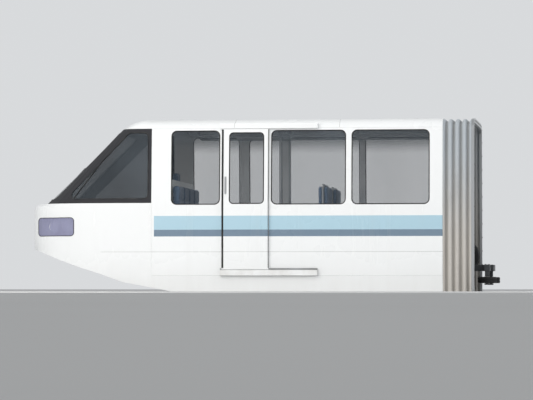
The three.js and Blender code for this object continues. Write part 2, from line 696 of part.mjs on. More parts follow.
function loadWheels(x) {
  const tyreOut = 142;
  const tyreIn = 22;
  const half = [
    [LOAD_RADIUS - 14, tyreIn], [LOAD_RADIUS, tyreIn + 16], [LOAD_RADIUS, tyreOut - 16],
    [LOAD_RADIUS - 14, tyreOut], [128, tyreOut], [118, tyreOut - 26], [66, tyreOut - 26],
    [60, tyreOut + 6], [AXLE, tyreOut + 6], [AXLE, 212], [0, 212],
  ];
  const mirrored = [...half].reverse().map(([radius, y]) => [radius, -y]);
  return turned([...mirrored, [90, -tyreIn], [90, tyreIn], ...half], 32, 'y', x, 0, LOAD_RADIUS);
}

function bogieFrame(x) {
  const pieces = [];
  pieces.push(box(x - 110, x + 110, -YOKE_LEG_OUTER, YOKE_LEG_OUTER, YOKE_TOP - 28, YOKE_TOP));
  for (const side of SIDES) {
    pieces.push(sideBox(side.out, x - 90, x + 90, YOKE_LEG_INNER, YOKE_LEG_OUTER, BASE_BOTTOM, YOKE_TOP));
    pieces.push(sideBox(side.out, x - BASE_HALF_LENGTH, x + BASE_HALF_LENGTH,
      YOKE_LEG_INNER, YOKE_LEG_INNER + 60, BASE_BOTTOM, BASE_TOP));
    for (const along of [-GUIDE_X, 0, GUIDE_X]) {
      pieces.push(sideBox(side.out, x + along - 35, x + along + 35,
        YOKE_LEG_INNER + 10, GUIDE_Y + 40, BASE_BOTTOM, BASE_TOP));
      const y = side.out * GUIDE_Y;
      const wheelZ = along === 0 ? STABILISER_Z : GUIDE_Z;
      const armBottom = wheelZ + GUIDE_HALF + 7.5;
      pieces.push(box(x + along - ARM_SQUARE, x + along + ARM_SQUARE, y - ARM_SQUARE, y + ARM_SQUARE,
        armBottom, BASE_BOTTOM + 5));
      pieces.push(post(STEM, x + along, y, wheelZ - GUIDE_HALF - 12, armBottom + 5));
      pieces.push(post(HUB_COLLAR, x + along, y, wheelZ - GUIDE_HALF - 22, wheelZ - GUIDE_HALF - 7.5));
    }
  }
  for (const end of [-1, 1]) {
    const near = x + end * (BASE_HALF_LENGTH - 35);
    pieces.push(box(near - 35, near + 35, -YOKE_LEG_INNER - 5, YOKE_LEG_INNER + 5, BASE_BOTTOM, BASE_TOP));
  }
  const holes = joined([
    rod(AXLE_BORE, x, LOAD_RADIUS, -YOKE_LEG_OUTER - 5, YOKE_LEG_OUTER + 5),
    post(KINGPIN_BORE, x, 0, YOKE_TOP - 40, YOKE_TOP + 5),
  ]);
  return joined(pieces).subtract(holes);
}

for (const bogie of BOGIES) {
  addNode(`${bogie.name}_bogie_frame`, bogieFrame(bogie.x), STEEL);
  addNode(`${bogie.name}_load_wheels`, loadWheels(bogie.x), TYRE);
  for (const side of SIDES) {
    const y = side.out * GUIDE_Y;
    addNode(`${bogie.name}_${side.name}_guide_wheel_fore`, guideWheel(bogie.x + GUIDE_X, y, GUIDE_Z), TYRE);
    addNode(`${bogie.name}_${side.name}_guide_wheel_aft`, guideWheel(bogie.x - GUIDE_X, y, GUIDE_Z), TYRE);
    addNode(`${bogie.name}_${side.name}_stabiliser_wheel`, guideWheel(bogie.x, y, STABILISER_Z), TYRE);
  }
}
addNode('drive_motor', box(BOGIES[0].x + 245, BOGIES[0].x + 405, -150, 150, BASE_TOP + SEAT_GAP, 350), STEEL);

// Bellows and the ring that fastens it to the next car

function archPoints(inset) {
  const levels = SIDE_PROFILE.map(({ height, half }) => [half - inset, height]);
  const top = levels.length - 1;
  levels[top][1] -= inset;
  levels[top - 1][1] -= inset;
  levels[top - 2][1] -= inset * 0.9;
  levels[top - 3][1] -= inset * 0.6;
  levels[top - 4][1] -= inset * 0.3;
  return [...levels, ...levels.map(([y, z]) => [-y, z]).reverse()];
}

function bellows() {
  const sections = BELLOWS_FOLDS * 2;
  const grid = (extra) => {
    const rows = [];
    for (let i = 0; i <= sections; i += 1) {
      const x = -SEAT_GAP - (BELLOWS_LENGTH * i) / sections;
      const inset = BELLOWS_INSET + extra + (i % 2 === 1 ? BELLOWS_FOLD_DEPTH : 0);
      rows.push(archPoints(inset).map(([y, z]) => [x, y, z]));
    }
    return rows;
  };
  return sheet(grid(0), grid(BELLOWS_WALL));
}
addNode('bellows', bellows(), PLEATED);

const ringOutline = [...archPoints(RING_INSET), ...archPoints(RING_INSET + RING_BAR).reverse()];
const ringRear = -SEAT_GAP - BELLOWS_LENGTH - SEAT_GAP;
addNode('bellows_ring', alongX(ringOutline, ringRear - RING_THICK, ringRear), ALUMINIUM);

export default car;
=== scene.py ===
"""Finishes and fittings for the leading cab car of a monorail."""

import json
import math

import bmesh
import bpy
from bpy.props import FloatProperty, FloatVectorProperty, IntProperty, PointerProperty
from mathutils import Matrix, Vector

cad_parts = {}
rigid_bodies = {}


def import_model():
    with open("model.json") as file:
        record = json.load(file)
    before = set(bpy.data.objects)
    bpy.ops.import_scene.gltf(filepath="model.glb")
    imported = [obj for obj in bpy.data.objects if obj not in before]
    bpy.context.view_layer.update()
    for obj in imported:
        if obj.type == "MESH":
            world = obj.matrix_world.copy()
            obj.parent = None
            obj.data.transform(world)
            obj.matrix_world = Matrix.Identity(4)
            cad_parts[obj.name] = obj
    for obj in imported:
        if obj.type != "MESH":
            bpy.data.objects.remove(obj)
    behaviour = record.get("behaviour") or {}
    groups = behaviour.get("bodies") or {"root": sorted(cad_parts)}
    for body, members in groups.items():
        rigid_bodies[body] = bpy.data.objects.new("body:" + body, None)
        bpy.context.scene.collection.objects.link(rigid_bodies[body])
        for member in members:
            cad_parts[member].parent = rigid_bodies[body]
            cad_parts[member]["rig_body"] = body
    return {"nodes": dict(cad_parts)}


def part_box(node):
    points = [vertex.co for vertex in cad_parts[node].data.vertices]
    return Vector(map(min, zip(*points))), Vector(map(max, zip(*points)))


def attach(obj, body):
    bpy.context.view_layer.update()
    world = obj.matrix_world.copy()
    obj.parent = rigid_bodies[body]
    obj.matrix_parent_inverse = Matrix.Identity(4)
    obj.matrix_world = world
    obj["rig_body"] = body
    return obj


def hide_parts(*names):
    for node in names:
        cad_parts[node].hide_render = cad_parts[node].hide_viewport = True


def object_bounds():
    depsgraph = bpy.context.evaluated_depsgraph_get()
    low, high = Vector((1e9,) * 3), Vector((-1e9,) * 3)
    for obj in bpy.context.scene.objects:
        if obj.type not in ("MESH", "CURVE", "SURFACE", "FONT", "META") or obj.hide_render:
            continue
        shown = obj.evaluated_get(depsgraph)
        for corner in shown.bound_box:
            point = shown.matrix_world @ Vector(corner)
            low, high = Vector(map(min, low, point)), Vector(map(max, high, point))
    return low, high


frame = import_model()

bl_info = {
    "name": "Monorail cab car",
    "version": (1, 0, 0),
    "blender": (4, 5, 0),
    "location": "3D View > Sidebar > Monorail",
    "description": "Finishes and fittings for the leading cab car of a monorail",
    "category": "Object",
}

CAD_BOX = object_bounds()
NODES = frame["nodes"]
SIDES = {"left": 1, "right": -1}
BOGIES = {"front": 1.8, "rear": -1.8}
UP = Vector((0, 0, 1))
ACROSS = Vector((0, 1, 0))
FORWARDS = Matrix.Identity(4)
REARWARDS = Matrix.Rotation(math.pi, 4, "Z")

AXLE_HEIGHT = 0.21
DECK = 0.1004
CEILING = 1.904
SEAT_HEIGHT = 0.603
BACK_HEIGHT = 0.860
BULKHEAD_FACE = -1.6045

# Vertices nearer to each other than this are one
SAME_PLACE = 1e-5

ROOF_SEAMS = (-0.30, 1.03)
LIFTING_POINTS = (-1.25, 1.75)
SKIRT_JOINT = 0.26

# Above the belt the sides lean in by this share of the height
BELT = 0.86
SIDE_LEAN = 0.051 / 0.965
LEAF_FACE = 1.038

# Half width of the body and its height, from the skirt's foot to the roof's crown
BODY_SECTION = [
    (0.985, -0.240), (1.000, -0.040), (1.000, 0.860), (0.949, 1.825), (0.938, 1.860),
    (0.905, 1.900), (0.840, 1.930), (0.740, 1.945), (0.600, 1.950),
]


# Sizes and colours that a user may change

class CarColours(bpy.types.PropertyGroup):
    """Colours of the car's finishes, as linear light."""

    body_white: FloatVectorProperty(
        name="Body white", description="Main paint of the body", subtype="COLOR",
        size=4, min=0, max=1, default=(0.88, 0.89, 0.89, 1))
    stripe_light: FloatVectorProperty(
        name="Stripe, upper", description="Pale blue upper part of the stripe", subtype="COLOR",
        size=4, min=0, max=1, default=(0.42, 0.61, 0.71, 1))
    stripe_dark: FloatVectorProperty(
        name="Stripe, lower", description="Slate blue lower part of the stripe", subtype="COLOR",
        size=4, min=0, max=1, default=(0.165, 0.235, 0.31, 1))
    glass_tint: FloatVectorProperty(
        name="Glass tint", description="Tint of the window glass", subtype="COLOR",
        size=4, min=0, max=1, default=(0.045, 0.055, 0.065, 1))
    lamp_cover: FloatVectorProperty(
        name="Lamp cover", description="Violet grey of the smoked lamp covers", subtype="COLOR",
        size=4, min=0, max=1, default=(0.44, 0.45, 0.64, 1))
    bellows_cloth: FloatVectorProperty(
        name="Bellows cloth", description="Warm grey of the pleated bellows", subtype="COLOR",
        size=4, min=0, max=1, default=(0.57, 0.54, 0.50, 1))
    seat_cloth: FloatVectorProperty(
        name="Seat cloth", description="Blue grey of the seat covers", subtype="COLOR",
        size=4, min=0, max=1, default=(0.075, 0.12, 0.19, 1))


class CarSizes(bpy.types.PropertyGroup):
    """Sizes of the painted stripe and of the fittings."""

    stripe_bottom: FloatProperty(
        name="Stripe bottom", description="Height of the stripe's lower edge", unit="LENGTH", default=0.455)
    stripe_middle: FloatProperty(
        name="Stripe middle", description="Height where the two blues meet", unit="LENGTH", default=0.54)
    stripe_top: FloatProperty(
        name="Stripe top", description="Height of the stripe's upper edge", unit="LENGTH", default=0.715)
    stripe_front: FloatProperty(
        name="Stripe front", description="Where the stripe ends at the cab pillar", unit="LENGTH",
        default=2.06)
    gasket_radius: FloatProperty(
        name="Gasket radius", description="Radius of the rubber around the panes", unit="LENGTH",
        default=0.008)
    pleat_count: IntProperty(
        name="Pleats", description="Number of folds in the bellows", min=1, default=4)
    pleat_depth: FloatProperty(
        name="Pleat depth", description="Depth of each fold of the bellows", unit="LENGTH", default=0.042)
    pad_voxel: FloatProperty(
        name="Pad grain", description="Mesh size of the padded seats", unit="LENGTH", default=0.014)


class StudioSettings(bpy.types.PropertyGroup):
    """Camera and light of the studio."""

    azimuth: FloatProperty(
        name="Azimuth", description="Direction of view, turned from the car's right side",
        subtype="ANGLE", default=math.radians(187))
    elevation: FloatProperty(
        name="Elevation", description="Height of the view above the horizon", subtype="ANGLE",
        default=math.radians(-1.65))
    distance: FloatProperty(
        name="Distance", description="Distance of the camera from the car", unit="LENGTH", default=40.0)
    width: FloatProperty(
        name="Picture width", description="Width that the picture takes in at the car", unit="LENGTH",
        default=6.9)
    camera_clear: FloatProperty(
        name="Camera over floor", description="Height of the camera over the floor", unit="LENGTH",
        default=0.03)
    floor_size: FloatProperty(
        name="Floor size", description="Width of the pale floor", unit="LENGTH", default=400.0)
    key_power: FloatProperty(
        name="Key light", description="Power of the large light", unit="POWER", default=880.0)
    sky: FloatProperty(
        name="Sky", description="Brightness of the pale surroundings at the horizon", default=0.74)
    sky_overhead: FloatProperty(
        name="Sky overhead", description="Share of that brightness straight above", default=0.72)


def colours():
    return bpy.context.scene.monorail_colours


def sizes():
    return bpy.context.scene.monorail_sizes


def studio():
    return bpy.context.scene.monorail_studio


# Modelling by hand, in code

def fresh():
    """Back to object mode with nothing selected."""
    if bpy.context.object and bpy.context.object.mode != "OBJECT":
        bpy.ops.object.mode_set(mode="OBJECT")
    bpy.ops.object.select_all(action="DESELECT")


def only(piece):
    fresh()
    piece.select_set(True)
    bpy.context.view_layer.objects.active = piece


def settle(piece):
    """Puts the piece's place into its mesh, with its object at the origin."""
    only(piece)
    bpy.ops.object.transform_apply(location=True, rotation=True, scale=True)


def shaped(piece, kind, **settings):
    """Adds a modifier and applies it."""
    only(piece)
    modifier = piece.modifiers.new(kind.title(), kind)
    for name, value in settings.items():
        setattr(modifier, name, value)
    bpy.ops.object.modifier_apply(modifier=modifier.name)
    return piece


def tidy_mesh(piece):
    only(piece)
    bpy.ops.object.mode_set(mode="EDIT")
    bpy.ops.mesh.select_all(action="SELECT")
    bpy.ops.mesh.remove_doubles(threshold=SAME_PLACE)
    bpy.ops.mesh.delete_loose(use_verts=True, use_edges=True, use_faces=False)
    bpy.ops.mesh.select_all(action="SELECT")
    bpy.ops.mesh.normals_make_consistent(inside=False)
    bpy.ops.object.mode_set(mode="OBJECT")


def block(name, low, high, edge=0.003, segments=2):
    """A block between two corners with its edges eased."""
    fresh()
    low = Vector(low)
    high = Vector(high)
    bpy.ops.mesh.primitive_cube_add(size=1, location=(low + high) / 2)
    piece = bpy.context.object
    piece.name = name
    piece.scale = high - low
    settle(piece)
    return shaped(piece, "BEVEL", width=edge, segments=segments, limit_method="ANGLE")


def spun(name, profile, place=(0, 0, 0), along=UP, steps=32):
    """A closed outline of (radius, height) points spun once round an axis."""
    fresh()
    bpy.ops.mesh.primitive_circle_add(vertices=len(profile), radius=1, fill_type="NOTHING")
    piece = bpy.context.object
    piece.name = name
    for vertex, (radius, height) in zip(piece.data.vertices, profile):
        vertex.co = (radius, 0, height)
    bpy.ops.object.mode_set(mode="EDIT")
    bpy.ops.mesh.select_all(action="SELECT")
    bpy.ops.mesh.spin(steps=steps, angle=math.tau, center=(0, 0, 0), axis=(0, 0, 1))
    bpy.ops.object.mode_set(mode="OBJECT")
    tidy_mesh(piece)
    piece.rotation_mode = "QUATERNION"
    piece.rotation_quaternion = UP.rotation_difference(Vector(along))
    piece.location = place
    settle(piece)
    return piece


def bolt_head(radius, side, crown, height, steps=6):
    """A bolt's head: an upright side, then a slope up to a smaller flat crown."""
    outline = [(0, 0), (radius, 0), (radius, side), (crown, height), (0, height)]
    return spun("bolt", outline, steps=steps)


def in_a_ring(count, radius, height):
    """Matrices of places an equal way apart around +Z."""
    step = Matrix.Translation((radius, 0, height))
    return [Matrix.Rotation(math.tau * i / count, 4, "Z") @ step for i in range(count)]


def copied(piece, name, matrix=None):
    """A copy with a mesh of its own, moved by a matrix."""
    twin = bpy.data.objects.new(name, piece.data.copy())
    bpy.context.scene.collection.objects.link(twin)
    if matrix is not None:
        twin.data.transform(matrix)
        if matrix.determinant() < 0:
            twin.data.flip_normals()
    return twin


def placed(piece, matrix):
    """The piece itself, moved by a matrix."""
    piece.data.transform(matrix)
    return piece


def joined(name, pieces):
    fresh()
    for piece in pieces:
        piece.select_set(True)
    bpy.context.view_layer.objects.active = pieces[0]
    if len(pieces) > 1:
        bpy.ops.object.join()
    whole = bpy.context.view_layer.objects.active
    whole.name = name
    return whole


def repeated(name, piece, places):
    """Copies of one small piece at several places, joined, and the first one removed."""
    copies = [copied(piece, f"{name}_{i}", matrix) for i, matrix in enumerate(places)]
    bpy.data.objects.remove(piece)
    return joined(name, copies)


def facing(direction, place):
    """Matrix that turns +Z towards a direction and moves to a place."""
    turn = UP.rotation_difference(Vector(direction)).to_matrix().to_4x4()
    return Matrix.Translation(Vector(place)) @ turn


def tube(name, points, radius, cyclic=False, resolution=3):
    """A round bar along points."""
    fresh()
    curve = bpy.data.curves.new(name, "CURVE")
    curve.dimensions = "3D"
    spline = curve.splines.new("POLY")
    spline.points.add(len(points) - 1)
    for knot, point in zip(spline.points, points):
        knot.co = (*point, 1)
    spline.use_cyclic_u = cyclic
    curve.bevel_depth = radius
    curve.bevel_resolution = resolution
    curve.use_fill_caps = not cyclic
    piece = bpy.data.objects.new(name, curve)
    bpy.context.scene.collection.objects.link(piece)
    only(piece)
    bpy.ops.object.convert(target="MESH")
    piece = bpy.context.object
    tidy_mesh(piece)
    return piece


def fitted(piece, body, material, smooth=35):
    """Gives a finished piece its surface, its smooth shading and its body."""
    piece.data.materials.clear()
    piece.data.materials.append(bpy.data.materials[material])
    only(piece)
    bpy.ops.object.shade_smooth_by_angle(angle=math.radians(smooth))
    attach(piece, body)


def outer_skin(node, hint, limit=38):
    """A copy of a node's mesh cut down to the smooth face that looks along a hint."""
    skin = copied(NODES[node], f"{node}_skin")
    mesh = bmesh.new()
    mesh.from_mesh(skin.data)
    bmesh.ops.remove_doubles(mesh, verts=mesh.verts, dist=SAME_PLACE)
    mesh.normal_update()
    seed = max(mesh.faces, key=lambda face: face.calc_area() * face.normal.dot(hint))
    kept = {seed}
    waiting = [seed]
    while waiting:
        face = waiting.pop()
        for edge in face.edges:
            for other in edge.link_faces:
                if other not in kept and face.normal.angle(other.normal, 0) < math.radians(limit):
                    kept.add(other)
                    waiting.append(other)
    bmesh.ops.delete(mesh, geom=[face for face in mesh.faces if face not in kept], context="FACES")
    mesh.normal_update()
    mesh.to_mesh(skin.data)
    mesh.free()
    return skin


def rim_of(skin, outwards, inwards):
    """The skin's edge loop, moved out along the skin's normals, as points in order."""
    mesh = bmesh.new()
    mesh.from_mesh(skin.data)
    mesh.normal_update()
    centre = sum((vertex.co for vertex in mesh.verts), Vector()) / len(mesh.verts)
    edges = [edge for edge in mesh.edges if edge.is_boundary]
    links = {}
    for edge in edges:
        first, second = edge.verts
        links.setdefault(first, []).append(second)
        links.setdefault(second, []).append(first)
    start = edges[0].verts[0]
    loop = [start]
    before = None
    here = start
    while True:
        following = next(vertex for vertex in links[here] if vertex is not before)
        if following is start:
            break
        loop.append(following)
        before, here = here, following
    points = []
    for vertex in loop:
        pull = (centre - vertex.co).normalized() * inwards
        points.append(vertex.co + vertex.normal * outwards + pull)
    mesh.free()
    return points


# Shader maths

class Amount:
    """A number that changes over a surface; an expression on it adds the nodes that work it out."""

    def __init__(self, surface, socket):
        self.surface = surface
        self.socket = socket

    def worked(self, operation, *values):
        fed = dict(enumerate(values))
        made = self.surface.node("ShaderNodeMath", {"operation": operation}, fed)
        return Amount(self.surface, made.outputs[0])

    def __add__(self, other):
        return self.worked("ADD", self, other)

    def __radd__(self, other):
        return self.worked("ADD", other, self)

    def __sub__(self, other):
        return self.worked("SUBTRACT", self, other)

    def __rsub__(self, other):
        return self.worked("SUBTRACT", other, self)

    def __mul__(self, other):
        return self.worked("MULTIPLY", self, other)

    def __abs__(self):
        return self.worked("ABSOLUTE", self)

    def sine(self):
        return self.worked("SINE", self)

    def above(self, edge, blur):
        """0 below an edge and 1 above it, blurred over a width."""
        values = {"Value": self, "From Min": edge - blur / 2, "From Max": edge + blur / 2}
        made = self.surface.node("ShaderNodeMapRange", {"interpolation_type": "SMOOTHSTEP"}, values)
        return Amount(self.surface, made.outputs["Result"])

    def between(self, low, high, blur):
        return self.above(low, blur) * (1 - self.above(high, blur))


class Surface:
    """One material, built node by node."""

    def __init__(self, name, **values):
        self.material = bpy.data.materials.new(name)
        self.material.use_nodes = True
        self.tree = self.material.node_tree
        self.shader = self.tree.nodes["Principled BSDF"]
        coordinates = self.node("ShaderNodeTexCoord")
        self.place = coordinates.outputs["Object"]
        self.normal = coordinates.outputs["Normal"]
        self.wear(**values)

    def node(self, kind, settings=None, values=None):
        made = self.tree.nodes.new(kind)
        for name, setting in (settings or {}).items():
            setattr(made, name, setting)
        for key, value in (values or {}).items():
            self.feed(made.inputs[key], value)
        return made

    def feed(self, socket, value):
        if isinstance(value, Amount):
            value = value.socket
        if isinstance(value, bpy.types.NodeSocket):
            self.tree.links.new(value, socket)
        else:
            socket.default_value = value

    def wear(self, **values):
        """Sets or feeds sockets of the shader, named with _ for each space."""
        for socket, value in values.items():
            self.feed(self.shader.inputs[socket.replace("_", " ")], value)

    def parts_of(self, vector):
        made = self.node("ShaderNodeSeparateXYZ", values={0: vector})
        return [Amount(self, output) for output in made.outputs]

    def axes(self):
        return self.parts_of(self.place)

    def facing_out(self, across):
        """1 where a face looks away from the car's middle, 0 where it looks inwards."""
        return (across * self.parts_of(self.normal)[1]).above(0.3, 0.2)

    def facing_up(self):
        """1 where a face looks at the sky, 0 where it stands upright or looks down."""
        return self.parts_of(self.normal)[2].above(0.85, 0.25)

    def attribute(self, name):
        made = self.node("ShaderNodeAttribute", {"attribute_name": name})
        return Amount(self, made.outputs["Fac"])

    def noise(self, scale, detail=3.0, stretch=None):
        vector = self.place
        if stretch:
            vector = self.node("ShaderNodeMapping", values={"Vector": vector, "Scale": stretch}).outputs[0]
        values = {"Vector": vector, "Scale": scale, "Detail": detail}
        made = self.node("ShaderNodeTexNoise", values=values)
        return Amount(self, made.outputs[0])

    def specks(self, scale):
        made = self.node("ShaderNodeTexVoronoi", values={"Vector": self.place, "Scale": scale})
        return Amount(self, made.outputs["Distance"])

    def mixed(self, share, first, second):
        made = self.node("ShaderNodeMix", {"data_type": "RGBA"}, {0: share, 6: first, 7: second})
        return made.outputs[2]

    def bumped(self, height, distance, strength=1.0):
        values = {"Height": height, "Distance": distance, "Strength": strength}
        return self.node("ShaderNodeBump", values=values).outputs[0]


# Finishes

DUST = (0.50, 0.47, 0.42, 1)
# Dark grime for joints and dirt; the bellows also use it for painted shade in their fold valleys.
GRIME_AND_SHADE = (0.16, 0.15, 0.135, 1)


def groove(axis, place):
    """1 in a narrow joint between two panels, 0 beside it."""
    half_width = 0.0025
    return axis.between(place - half_width, place + half_width, 0.0015)


def paint_body():
    paint = Surface("body_paint", Coat_Roughness=0.06)
    x, y, z = paint.axes()
    size = sizes()
    crisp = 0.002
    flank = abs(y).above(0.986, crisp) * paint.facing_out(y)
    stripe = z.between(size.stripe_bottom, size.stripe_top, crisp) * flank
    stripe = stripe * (1 - x.above(size.stripe_front, crisp))
    lower = stripe * (1 - z.above(size.stripe_middle, crisp))
    cloudy = paint.noise(1.4, 5.0)
    streaky = paint.noise(9.0, 5.0, stretch=(1.0, 1.0, 0.06))
    low_down = 1 - z.above(0.02, 0.6)
    runs = streaky.above(0.6, 0.25) * z.between(0.1, 0.9, 0.5)
    roof_top = paint.facing_up() * z.above(1.8, 0.1)
    settled = paint.noise(3.2, 7.0, stretch=(0.35, 1.0, 1.0)).above(0.52, 0.45)
    dusty = low_down * (cloudy * 0.2 + streaky * 0.4) + runs * 0.12 + roof_top * settled * 0.3
    rear_seam, front_seam = [groove(x, place) for place in ROOF_SEAMS]
    joint = groove(z, SKIRT_JOINT) * flank + (rear_seam + front_seam) * z.above(1.83, crisp)
    base = paint.mixed(cloudy * 0.5, colours().body_white, (0.845, 0.855, 0.86, 1))
    base = paint.mixed(stripe, base, colours().stripe_light)
    base = paint.mixed(lower, base, colours().stripe_dark)
    base = paint.mixed(dusty * 0.45, base, DUST)
    base = paint.mixed(joint * 0.5, base, GRIME_AND_SHADE)
    peel = paint.noise(90.0, 2.0)
    paint.wear(
        Base_Color=base,
        Roughness=0.2 + cloudy * 0.12 + dusty * 0.4,
        Coat_Weight=0.5 - dusty * 0.5,
        Normal=paint.bumped(peel * 0.01 - joint, 0.0012, 0.6),
    )


def line_cabin():
    lining = Surface("cabin_lining")
    grain = lining.noise(420.0, 3.0)
    marks = lining.noise(2.2, 5.0)
    base = lining.mixed(marks * 0.6, (0.74, 0.75, 0.74, 1), (0.62, 0.63, 0.63, 1))
    lining.wear(Base_Color=base, Roughness=0.45 + marks * 0.25, Normal=lining.bumped(grain, 0.0006, 0.5))


def tint_glass(name, clear, top_painted_shade):
    """Grey glass that lets a share of the light through, with streaky patches of dusty film, and made darker
    near its top as painted shade.
    """
    glass = Surface(name, IOR=1.5)
    height = glass.axes()[2]
    film = glass.noise(1.8, 4.0, stretch=(1.0, 1.0, 0.35))
    tint = colours().glass_tint
    dusty = tuple(value * 2.0 for value in tint[:3]) + (1,)
    base = glass.mixed(film.above(0.55, 0.5), tint, dusty)
    opaque = 1 - clear
    # The height term in Alpha is painted shade: the pane turns darker near its top, standing in for the
    # shaded ceiling seen through it.
    glass.wear(
        Base_Color=base,
        Alpha=opaque + film * 0.1 + height.above(1.66, 0.2) * top_painted_shade,
        Roughness=0.12 + film.above(0.6, 0.5) * 0.08,
    )


def clean_glass():
    tint_glass("window_glass", 0.9, 0.26)


def dark_glass():
    tint_glass("cab_glass", 0.5, 0.05)


def press_sill():
    """Bare extruded metal with a white painted outer face."""
    sill = Surface("sill_metal")
    painted = abs(sill.axes()[1]).above(1.0445, 0.0005)
    haze = sill.noise(6.0, 6.0)
    drawn = sill.noise(90.0, 4.0, stretch=(0.03, 4.0, 4.0))
    metal = sill.mixed(haze.above(0.5, 0.6), (0.60, 0.61, 0.62, 1), (0.38, 0.38, 0.37, 1))
    white = sill.mixed(haze.above(0.5, 0.6) * 0.4, colours().body_white, DUST)
    sill.wear(
        Base_Color=sill.mixed(painted, metal, white),
        Metallic=1 - painted,
        Roughness=0.26 + drawn * 0.15 + haze * 0.15,
        Normal=sill.bumped(drawn, 0.0004, 0.5),
    )


def mould_trim():
    trim = Surface("dark_trim")
    grain = trim.noise(520.0, 2.0)
    haze = trim.noise(3.5, 5.0)
    base = trim.mixed(haze.above(0.5, 0.5), (0.022, 0.024, 0.028, 1), (0.06, 0.062, 0.066, 1))
    trim.wear(Base_Color=base, Roughness=0.36 + haze * 0.25, Normal=trim.bumped(grain, 0.0005, 0.4))


def vulcanise_rubber():
    rubber = Surface("seal_rubber")
    grain = rubber.noise(900.0, 2.0)
    haze = rubber.noise(9.0, 4.0)
    base = rubber.mixed(haze.above(0.55, 0.4), (0.014, 0.014, 0.015, 1), (0.05, 0.049, 0.047, 1))
    rubber.wear(Base_Color=base, Roughness=0.55 + haze * 0.25, Normal=rubber.bumped(grain, 0.0003, 0.5))


def cure_tyres():
    tyre = Surface("tyre_rubber")
    grain = tyre.noise(260.0, 4.0)
    dust = tyre.noise(16.0, 6.0)
    base = tyre.mixed(dust.above(0.52, 0.45) * 0.7, (0.016, 0.016, 0.017, 1), (0.11, 0.10, 0.09, 1))
    tyre.wear(Base_Color=base, Roughness=0.72 + dust * 0.2, Normal=tyre.bumped(grain, 0.0012, 0.6))


def coat_steel(name, dark, pale, chips):
    steel = Surface(name)
    cloudy = steel.noise(4.0, 6.0)
    grain = steel.noise(140.0, 5.0)
    rust = steel.noise(11.0, 8.0).above(0.66, 0.05) * chips
    base = steel.mixed(cloudy.above(0.5, 0.6), dark, pale)
    base = steel.mixed(rust, base, (0.13, 0.055, 0.025, 1))
    steel.wear(
        Base_Color=base,
        Metallic=0.35 - rust * 0.3,
        Roughness=0.42 + cloudy * 0.3 + rust * 0.2,
        Normal=steel.bumped(grain + rust * 0.6, 0.0009, 0.5),
    )


def draw_aluminium():
    metal = Surface("bare_aluminium", Metallic=1.0)
    drawn = metal.noise(90.0, 4.0, stretch=(0.03, 4.0, 4.0))
    haze = metal.noise(6.0, 6.0)
    base = metal.mixed(haze.above(0.5, 0.6), (0.62, 0.63, 0.64, 1), (0.40, 0.40, 0.39, 1))
    metal.wear(Base_Color=base, Roughness=0.3 + drawn * 0.15 + haze * 0.2,
               Normal=metal.bumped(drawn, 0.0004, 0.5))


def plate_fasteners():
    zinc = Surface("zinc_fasteners", Metallic=1.0)
    haze = zinc.noise(60.0, 5.0)
    base = zinc.mixed(haze.above(0.5, 0.4), (0.52, 0.52, 0.50, 1), (0.24, 0.23, 0.21, 1))
    zinc.wear(Base_Color=base, Roughness=0.3 + haze * 0.3, Normal=zinc.bumped(haze, 0.0003, 0.4))


def polish_reflector():
    mirror = Surface("lamp_reflector", Metallic=1.0)
    haze = mirror.noise(30.0, 3.0)
    base = mirror.mixed(haze, (0.86, 0.87, 0.9, 1), (0.74, 0.75, 0.8, 1))
    mirror.wear(Base_Color=base, Roughness=0.2 + haze * 0.12)


def blow_bulb():
    bulb = Surface("bulb_glass", IOR=1.5)
    haze = bulb.noise(80.0, 2.0)
    base = bulb.mixed(haze, (0.92, 0.93, 0.9, 1), (0.8, 0.82, 0.84, 1))
    bulb.wear(Base_Color=base, Roughness=0.12 + haze * 0.1, Alpha=0.75 + haze * 0.2)


def smoke_lamp_cover():
    cover = Surface("lamp_cover", IOR=1.49)
    haze = cover.noise(7.0, 5.0)
    flutes = (cover.axes()[2] * 420.0).sine()
    base = cover.mixed(haze.above(0.5, 0.6), colours().lamp_cover, (0.36, 0.36, 0.53, 1))
    cover.wear(Base_Color=base, Alpha=0.46 + haze * 0.16, Roughness=0.08 + haze.above(0.6, 0.3) * 0.12,
               Normal=cover.bumped(flutes, 0.0006, 0.35))


def lay_flooring():
    mat = Surface("ribbed_floor")
    ribs = (mat.axes()[1] * 420.0).sine()
    wear_marks = mat.noise(2.5, 6.0)
    flecks = mat.specks(320.0).above(0.32, 0.1)
    base = mat.mixed(flecks, (0.24, 0.245, 0.25, 1), (0.12, 0.125, 0.13, 1))
    base = mat.mixed(wear_marks.above(0.58, 0.3) * 0.5, base, (0.27, 0.26, 0.24, 1))
    mat.wear(Base_Color=base, Roughness=0.6 + wear_marks * 0.25, Normal=mat.bumped(ribs, 0.0012, 0.8))


def weave_seat_cloth():
    cloth = Surface("seat_cloth", Sheen_Weight=0.35, Sheen_Roughness=0.5)
    x, y, z = cloth.axes()
    warp = ((x + z * 0.7) * 2600.0).sine()
    weft = ((y + z * 0.3) * 2600.0).sine()
    weave = warp * weft
    mottled = cloth.noise(240.0, 3.0)
    worn = cloth.noise(5.0, 5.0)
    thread = colours().seat_cloth
    paler = tuple(min(1.0, value * 1.9 + 0.03) for value in thread[:3]) + (1,)
    base = cloth.mixed(mottled.above(0.55, 0.25) * 0.6 + worn.above(0.6, 0.3) * 0.25, thread, paler)
    cloth.wear(Base_Color=base, Roughness=0.82 + worn * 0.12,
               Normal=cloth.bumped(weave + mottled, 0.0006, 0.6))


